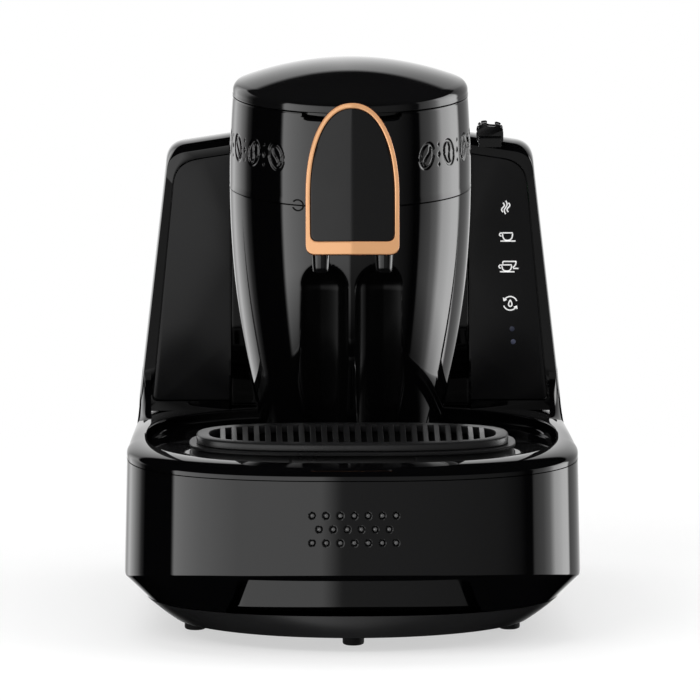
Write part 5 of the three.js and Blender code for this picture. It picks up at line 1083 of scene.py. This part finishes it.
def makeTray():
    # outlines of the tray, drawn in at each height; the waist is pressed in further along its front
    s = platformStyle
    turn = trayTurns()
    low, top, lip, waist, sump = s["lowZ"], s["topZ"], s["lip"], s["waist"], s["sumpZ"]
    levels = [(sump, 15, 0), (sump + 0.6, 14, 0), (low, 8, 0), (low, 0.4, 0), (low + 0.4, 0, 0),
              (low + lip - 0.3, 0, 0), (low + lip, 0.3, 0), (low + lip + 0.1, waist * 0.9, 1),
              (low + lip + 0.5, waist, 1), (top - lip - 0.5, waist, 1), (top - lip - 0.1, waist * 0.9, 1),
              (top - lip, 0.3, 0), (top - lip + 0.3, 0, 0), (top - 0.4, 0, 0), (top, 0.4, 0), (top, 8.1, 0),
              (top - 0.4, 8.5, 0), (low, 10, 0), (sump + 3, 15, 0), (sump + 2, 17, 0)]
    rows = []
    for z, inset, recessed in levels:
        x, y = planPoints(tray, inset, turn)
        fromEdge = smoothStep(s["recessHalf"] - s["recessEdge"], s["recessHalf"] + s["recessEdge"], np.abs(x))
        rows.append(grid(x, y + recessed * (1 - fromEdge) * (np.sin(turn) < 0) * (s["recess"] - waist), z))
    shell = capped(newShell(), np.stack(rows))
    return makePiece("tray", shell, ("drip_tray",), 42, satinBlack, "drip_tray")


def makeGrille():
    # a rounded border round an oval opening, crossed by bars from front to back
    s = platformStyle
    turn = trayTurns()
    low, top, a, b = s["grilleLow"], s["grilleTop"], s["grilleInset"], s["grilleInset"] + s["border"]
    levels = [(low, a + 0.3), (low + 0.3, a), (top - 0.9, a), (top - 0.3, a + 0.3), (top, a + 0.9),
              (top, b - 0.5), (top - 0.5, b), (low, b)]
    rows = np.stack([grid(*planPoints(tray, inset, turn), z) for z, inset in levels])
    shell = addGrid(newShell(), rows, closeRows=True)
    half, reach, power = tray["halfWidth"] - b, tray["frontReach"] - b, tray["frontPower"]
    section = np.array([(-1, 0), (-1, 0.85), (-0.8, 1), (0.8, 1), (1, 0.85), (1, 0)])
    section *= s["bar"] / 2, top - low - s["barDrop"]
    middles = (np.arange(-13, 13) + 0.5) * s["pitch"]
    for x in middles[np.abs(middles) <= half - s["barClear"]]:
        run = reach * (1 - abs(x / half) ** power) ** (1 / power) + s["barReach"]
        line = section + np.array([x, low])
        capped(shell, np.stack([facing(line, tray["middleY"] - run), facing(line, tray["middleY"] + run)]))
    return makePiece("grille", shell, ("cup_grille",), 42, satinBlack, "cup_grille")


makeTray()
makeGrille()
print("cup platform made")

# Water tank, its lid and latch

tankStyle = {"frontY": 61, "footHalf": 106, "topHalf": 94, "footRear": 136, "topRear": 131, "lowZ": 102.1,
             "topZ": 231, "power": 5, "innerX": 67.7, "innerY": 105.7, "wall": 2.4, "corner": 3,
             "nozzle": (40, 121),
             "nozzleProfile": ((3.2, 94.8), (5.7, 94.8), (6, 95.1), (6, 104), (3.2, 104)),
             "ears": ((-26.6, -20.6), (20.6, 26.6)),
             "ear": ((129.8, 223), (136.7, 232.8), (136.7, 239.2), (130.3, 239.2), (129.8, 231))}
tankLidStyle = {"z": 231.3, "thick": 3, "edge": 0.9, "over": 1, "barrel": (3.2, -20, 20, 133.5, 236),
                "web": ((127.5, 232.8), (133, 232.8), (133.5, 237.3), (129, 234.6), (127.5, 234.3)),
                "pin": (1.8, 71, 79, 46, 247.3),
                "tongue": ((46, 246.3), (64, 246.3), (64, 231.6), (67, 231.6), (67, 248.3), (46, 248.3))}
latchStyle = {"front": 37.2, "back": 45.6, "edge": 0.6,
              "corners": ((68.5, 248.1), (68.4, 250), (68.4, 253.4), (69.3, 256.1), (71, 257.1),
                          (73.1, 257.2), (72.5, 255.5), (75.5, 255.1), (78.7, 254.9), (78.2, 256.6),
                          (80.3, 256.1), (81.4, 254.5), (81.6, 252), (81.6, 247.5)),
              "radii": (1, 2, 2, 1.2, 1, 0.4, 0.5, 1, 0.5, 0.4, 1, 1.2, 2, 1)}


def tankLine(half, rearY, inset):
    # a U in plan: superellipse outside, straight inside round the spine, its corners quadratic arcs
    s = tankStyle
    front = s["frontY"] + inset
    a = np.linspace(0, math.pi, 4001)
    outX = (half - inset) * signedPower(np.cos(a), 2 / s["power"])
    outY = between(front, rearY - inset, np.sin(a) ** (2 / s["power"]))
    arc = resampled(np.column_stack([outX, outY]), 230, closed=False)
    inX, inY, r = s["innerX"] + inset, s["innerY"] + inset, s["corner"]
    arc = arc[arc[:, 1] > front + r]
    endX = -arc[-1, 0]
    corners = ((arc[-1], (-endX, front), (r - endX, front)),
               ((-inX - r, front), (-inX, front), (-inX, front + r)),
               ((-inX, inY - r), (-inX, inY), (-inX + r, inY)),
               ((inX - r, inY), (inX, inY), (inX, inY - r)),
               ((inX, front + r), (inX, front), (inX + r, front)),
               ((endX - r, front), (endX, front), arc[0]))
    t = np.linspace(0, 1, 7)[:, None]
    return np.vstack([arc, *[bend(*corner, t) for corner in corners]])[:-1]


def makeTank():
    # the U narrows in straight lines upwards, outside and inside; a round nozzle and two ears are added
    s = tankStyle
    low, top, wall = s["lowZ"], s["topZ"], s["wall"]

    def at(q, inset, z):
        half, rear = between(s["footHalf"], s["topHalf"], q), between(s["footRear"], s["topRear"], q)
        return inPlan(tankLine(half, rear, inset), z)

    rows = [at(0, 1.0, low), at(0, 0.3, low + 0.3), at(0, 0, low + 1)]
    rows += [at(q, 0, between(low, top, q)) for q in (0.25, 0.5, 0.75, 0.995)]
    rows += [at(1, 0.3, top), at(1, wall, top), at(0.03, wall, low + wall)]
    shell = capped(newShell(), np.stack([resampled(row, 300) for row in rows]))
    addGrid(shell, turnedRings(s["nozzleProfile"], *s["nozzle"], 48), closeRows=True)
    for x0, x1 in s["ears"]:
        prism(shell, filleted(s["ear"], [0.5, 1, 3, 3, 0.5]), x0, x1, 0.4, sideways)
    return makePiece("tank", shell, ("water_tank",), 42, tankSmoke, "water_tank")


def makeTankLid():
    # the tank's upper outline, grown and carried upwards, with the hinge's barrel and the latch's tongue
    s, t = tankLidStyle, tankStyle
    line = resampled(tankLine(t["topHalf"] + s["over"], t["topRear"] + s["over"], 0), 360)
    shell = prism(newShell(), line, s["z"], s["z"] + s["thick"], s["edge"], inPlan, 4)
    for rod, outline, radii, edge in ((s["barrel"], s["web"], [0.5, 0.5, 0.5, 1, 0.4], 0.4),
                                      (s["pin"], s["tongue"], [0.3, 0.5, 0.3, 0.3, 1.2, 0.3], 0.3)):
        addRod(shell, *rod)
        prism(shell, filleted(outline, radii), rod[1], rod[2], edge, sideways)
    return makePiece("tankCover", shell, ("tank_lid",), 42, pianoBlack, body="tank_lid")


def makeLatchTab():
    # thumb tab with two horns that lean towards each other
    s = latchStyle
    shell = prism(newShell(), filleted(s["corners"], s["radii"]), s["front"], s["back"], s["edge"], facing)
    return makePiece("latchTab", shell, (), 30, panelBlack, body="tank_latch")


makeTank()
makeTankLid()
smoothCopy("latch", "tank_latch", "tank_latch", pianoBlack, 0.3)
makeLatchTab()
smoothCopy("switchFrame", "switch_bezel", "housing", satinBlack, 0.25)
smoothCopy("switchRocker", "power_switch", "power_switch", satinBlack, 0.3)
smoothCopy("cordGland", "cord_gland", "housing", satinBlack, 0.25)
print("tank made")

# Solids that keep their own shape take a finish

finishes = (
    (satinBlack, "base_pan power_supply buzzer"),
    (boardGreen, "main_board touch_board"),
    (rubberBlack, "pump_mount_left pump_mount_right valve_gasket"),
    (hoseClear, "suction_hose delivery_hose transfer_tube"),
    (sealRubber, "lid_gasket pot_gasket tank_valve"),
    (steelPlain, "pump lid_hinge_pin tank_lid_pin latch_pin brew_pot pot_heater heat_shield"),
    (steelPlain, "temperature_sensor base_screw_front_left base_screw_front_right"),
    (steelPlain, "base_screw_rear_left base_screw_rear_right"))
for finish, nodeNames in finishes:
    for nodeName in nodeNames.split():
        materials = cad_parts[nodeName].data.materials
        materials.clear()
        materials.append(finish)
print("finishes given")

# Floor, the screens that the gloss shows, lamps and camera

stageStyle = {"floorRadius": 1.6, "floorRings": (0.0, 0.2, 0.6), "floorClear": (0.17, 0.6), "floorMatt": 0.43,
              "floorGlow": 0.565, "floorZ": -0.0002, "screenRadius": 24, "screenLevel": 5,
              "cards": {"Upper": (62, 100, 114, 262), "Foot": (108, 113.5, 102.5, 114)}, "cardY": 36.6,
              "screens": [(-180, 1.25), (-172, 0.9), (-163, 0.6), (-152, 1.6), (-138, 1.3), (-128, 0.8),
                          (-121, 0.2), (-114, 0.0), (-75, 0.0), (-72, 3.2), (-62, 2.7), (-49, 2.15),
                          (-38, 1.8), (-28, 1.5), (-2.2, 1.42), (-0.4, 0.29), (26, 0.24), (46, 0.19),
                          (60, 0.08), (67, 0.0), (73, 0.0), (75, 0.6), (86, 0.95), (95, 1.8), (103, 4.6),
                          (118, 4.4), (129, 3.4), (133, 0.4), (146, 0.4), (158, 0.5), (172, 0.8),
                          (180, 1.25)],
              "screenBand": [(-0.46, 0.0), (-0.3, 1.0), (0.16, 1.0), (0.4, 0.75), (0.44, 0.0)],
              "fill": 0.62, "cameraElevation": 9.8, "cameraBearing": 0.7, "cameraDistance": 12.0,
              "lens": 1153, "aim": (-0.0005, 0, 0.1408),
              "lamps": (("overLeft", (-1.1, -0.9, 1.7), (0, 0, 0.12), (1.4, 1.0), 14),
                        ("overRight", (1.3, -0.3, 1.6), (0, 0, 0.12), (1.0, 1.0), 8),
                        ("topStrip", (0, 0.25, 1.5), (0, 0, 0.2), (1.6, 0.35), 6))}


def placed(name, data):
    thing = bpy.data.objects.new(name, data)
    bpy.context.scene.collection.objects.link(thing)
    return thing


def stageObject(name, points, closeColumns, material):
    shell = addGrid(newShell(), points, closeColumns=closeColumns)
    mesh = bpy.data.meshes.new(name)
    mesh.from_pydata(np.concatenate(shell["points"]).tolist(), [], shell["faces"])
    mesh.materials.append(material)
    thing = placed(name, mesh)
    return thing


def mirrorOnly(thing):
    thing.visible_camera = thing.visible_diffuse = thing.visible_shadow = thing.visible_transmission = False


def emptied(owner, outputKind):
    # the nodes of a material or a world, cleared but for a new output
    owner.use_nodes = True
    nodes = owner.node_tree.nodes
    nodes.clear()
    return nodes, owner.node_tree.links, addNode(nodes, outputKind)


def makeFloor():
    # matt with a little glow, clearing away into the white backdrop with the distance
    s = stageStyle
    material = bpy.data.materials.new("paleFloor")
    nodes, links, out = emptied(material, "OutputMaterial")
    place = addNode(nodes, "TexCoord")
    far = addNode(nodes, "VectorMath", operation="LENGTH")
    near, beyond = s["floorClear"]
    fade = addNode(nodes, "MapRange", {"From Min": near, "From Max": beyond}, interpolation_type="SMOOTHSTEP")
    matt = addNode(nodes, "BsdfDiffuse", {"Color": grey(s["floorMatt"])})
    glow = addNode(nodes, "Emission", {"Strength": s["floorGlow"]})
    lit, clear, mix = [addNode(nodes, kind) for kind in ("AddShader", "BsdfTransparent", "MixShader")]
    join(links, (place, "Object", far, 0), (far, "Value", fade, "Value"), (fade, "Result", mix, "Fac"),
         (matt, 0, lit, 0), (glow, 0, lit, 1), (lit, 0, mix, 1), (clear, 0, mix, 2), (mix, 0, out, "Surface"))
    turn, radius = fullTurn(96), np.array([*s["floorRings"], s["floorRadius"]])[:, None]
    points = grid(radius * np.cos(turn), radius * np.sin(turn), s["floorZ"])
    stageObject("floor", points, True, material).visible_glossy = False


def addRamp(nodes, stops, reach, span, top):
    # a ramp over the values from minus to plus the reach; its stops count from minus to plus the span and its
    # levels up to the top level
    spread = addNode(nodes, "MapRange", {"From Min": -reach, "From Max": reach})
    ramp = addNode(nodes, "ValToRGB")
    while len(ramp.color_ramp.elements) < len(stops):
        ramp.color_ramp.elements.new(0.5)
    for element, (at, level) in zip(ramp.color_ramp.elements, stops):
        element.position = (at + span) / (2 * span)
        element.color = grey(level / top)
    return spread, ramp


def makeSurroundings():
    # a far dome that only glossy rays meet: pale and black screens side by side, black overhead and
    # underfoot; the bearing is counted from straight in front and is minus on the left
    s = stageStyle
    material = bpy.data.materials.new("studioScreens")
    nodes, links, out = emptied(material, "OutputMaterial")
    sight = addNode(nodes, "NewGeometry")
    away = addNode(nodes, "VectorMath", {"Scale": -1}, operation="SCALE")
    split, clear = addNode(nodes, "SeparateXYZ"), addNode(nodes, "BsdfTransparent")
    oneSided = addNode(nodes, "MixShader")
    flip = addNode(nodes, "Math", {1: -1}, operation="MULTIPLY")
    bearing = addNode(nodes, "Math", operation="ARCTAN2")
    spread, ramp = addRamp(nodes, s["screens"], math.pi, 180, s["screenLevel"])
    rise, band = addRamp(nodes, s["screenBand"], 1, 1, 1)
    both = addNode(nodes, "Mix", {"Factor": 1}, data_type="RGBA", blend_type="MULTIPLY")
    glow = addNode(nodes, "Emission", {"Strength": s["screenLevel"]})
    join(links, (sight, "Incoming", away, 0), (away, "Vector", split, 0), (split, "Y", flip, 0),
         (split, "X", bearing, 0), (flip, 0, bearing, 1), (bearing, 0, spread, "Value"),
         (spread, "Result", ramp, "Fac"), (split, "Z", rise, "Value"), (rise, "Result", band, "Fac"),
         (ramp, "Color", both, "A"), (band, "Color", both, "B"), (both, "Result", glow, "Color"),
         (sight, "Backfacing", oneSided, "Fac"), (glow, 0, oneSided, 1), (clear, 0, oneSided, 2),
         (oneSided, 0, out, "Surface"))
    turn, radius = fullTurn(96), s["screenRadius"]
    lift = np.linspace(-math.pi / 2, math.pi / 2, 49)[:, None]
    dome = grid(radius * np.cos(lift) * np.cos(turn), radius * np.cos(lift) * np.sin(turn),
                radius * np.sin(lift))
    mirrorOnly(stageObject("surroundings", dome[::-1], True, material))
    # cards between the wings and the tower, so that its flanks show the screens and not the wings
    for cardName, lengths in s["cards"].items():
        near, far, low, high = np.array(lengths) * mm
        for sideName, side in (("left", -1), ("right", 1)):
            across = np.array([near, far])[::side] * side
            points = grid(across, s["cardY"] * mm, np.array([low, high])[:, None])
            mirrorOnly(stageObject(sideName + cardName + "Card", points, False, material))


def makeWorld():
    # white to the eye, the gloss and clear parts, a plain grey fill to all else
    world = bpy.data.worlds.new("studio")
    bpy.context.scene.world = world
    nodes, links, out = emptied(world, "OutputWorld")
    path, mix = addNode(nodes, "LightPath"), addNode(nodes, "MixShader")
    seen, seenToo = [addNode(nodes, "Math", operation="MAXIMUM") for _ in range(2)]
    fill, white = [addNode(nodes, "Background", {"Color": grey(level)}) for level in (stageStyle["fill"], 1)]
    join(links, (path, "Is Camera Ray", seen, 0), (path, "Is Glossy Ray", seen, 1), (seen, 0, seenToo, 0),
         (path, "Is Transmission Ray", seenToo, 1), (seenToo, 0, mix, "Fac"), (fill, 0, mix, 1),
         (white, 0, mix, 2), (mix, 0, out, "Surface"))


def makeLamp(name, place, aim, size, power):
    # an oblong lamp turned to its aim
    lamp = bpy.data.lights.new(name, "AREA")
    lamp.shape = "RECTANGLE"
    lamp.size, lamp.size_y = size
    lamp.energy = power
    thing = placed(name, lamp)
    thing.location = place
    thing.rotation_euler = (thing.location - Vector(aim)).to_track_quat("Z", "Y").to_euler()
    thing.visible_glossy = False


def makeCamera():
    # on a circle round the aim, by bearing, elevation and distance
    s = stageStyle
    camera = bpy.data.cameras.new("camera")
    camera.lens = s["lens"]
    camera.sensor_width = 36
    thing = placed("camera", camera)
    tilt, yaw = math.radians(s["cameraElevation"]), math.radians(s["cameraBearing"])
    x, y, z = s["aim"]
    flat, up = s["cameraDistance"] * math.cos(tilt), s["cameraDistance"] * math.sin(tilt)
    thing.location = (x - flat * math.sin(yaw), y - flat * math.cos(yaw), z + up)
    thing.rotation_euler = (math.pi / 2 - tilt, 0, -yaw)
    bpy.context.scene.camera = thing


makeFloor()
makeSurroundings()
makeWorld()
for lampSettings in stageStyle["lamps"]:
    makeLamp(*lampSettings)
makeCamera()
bpy.context.scene.view_settings.view_transform = "Standard"
print("stage set")
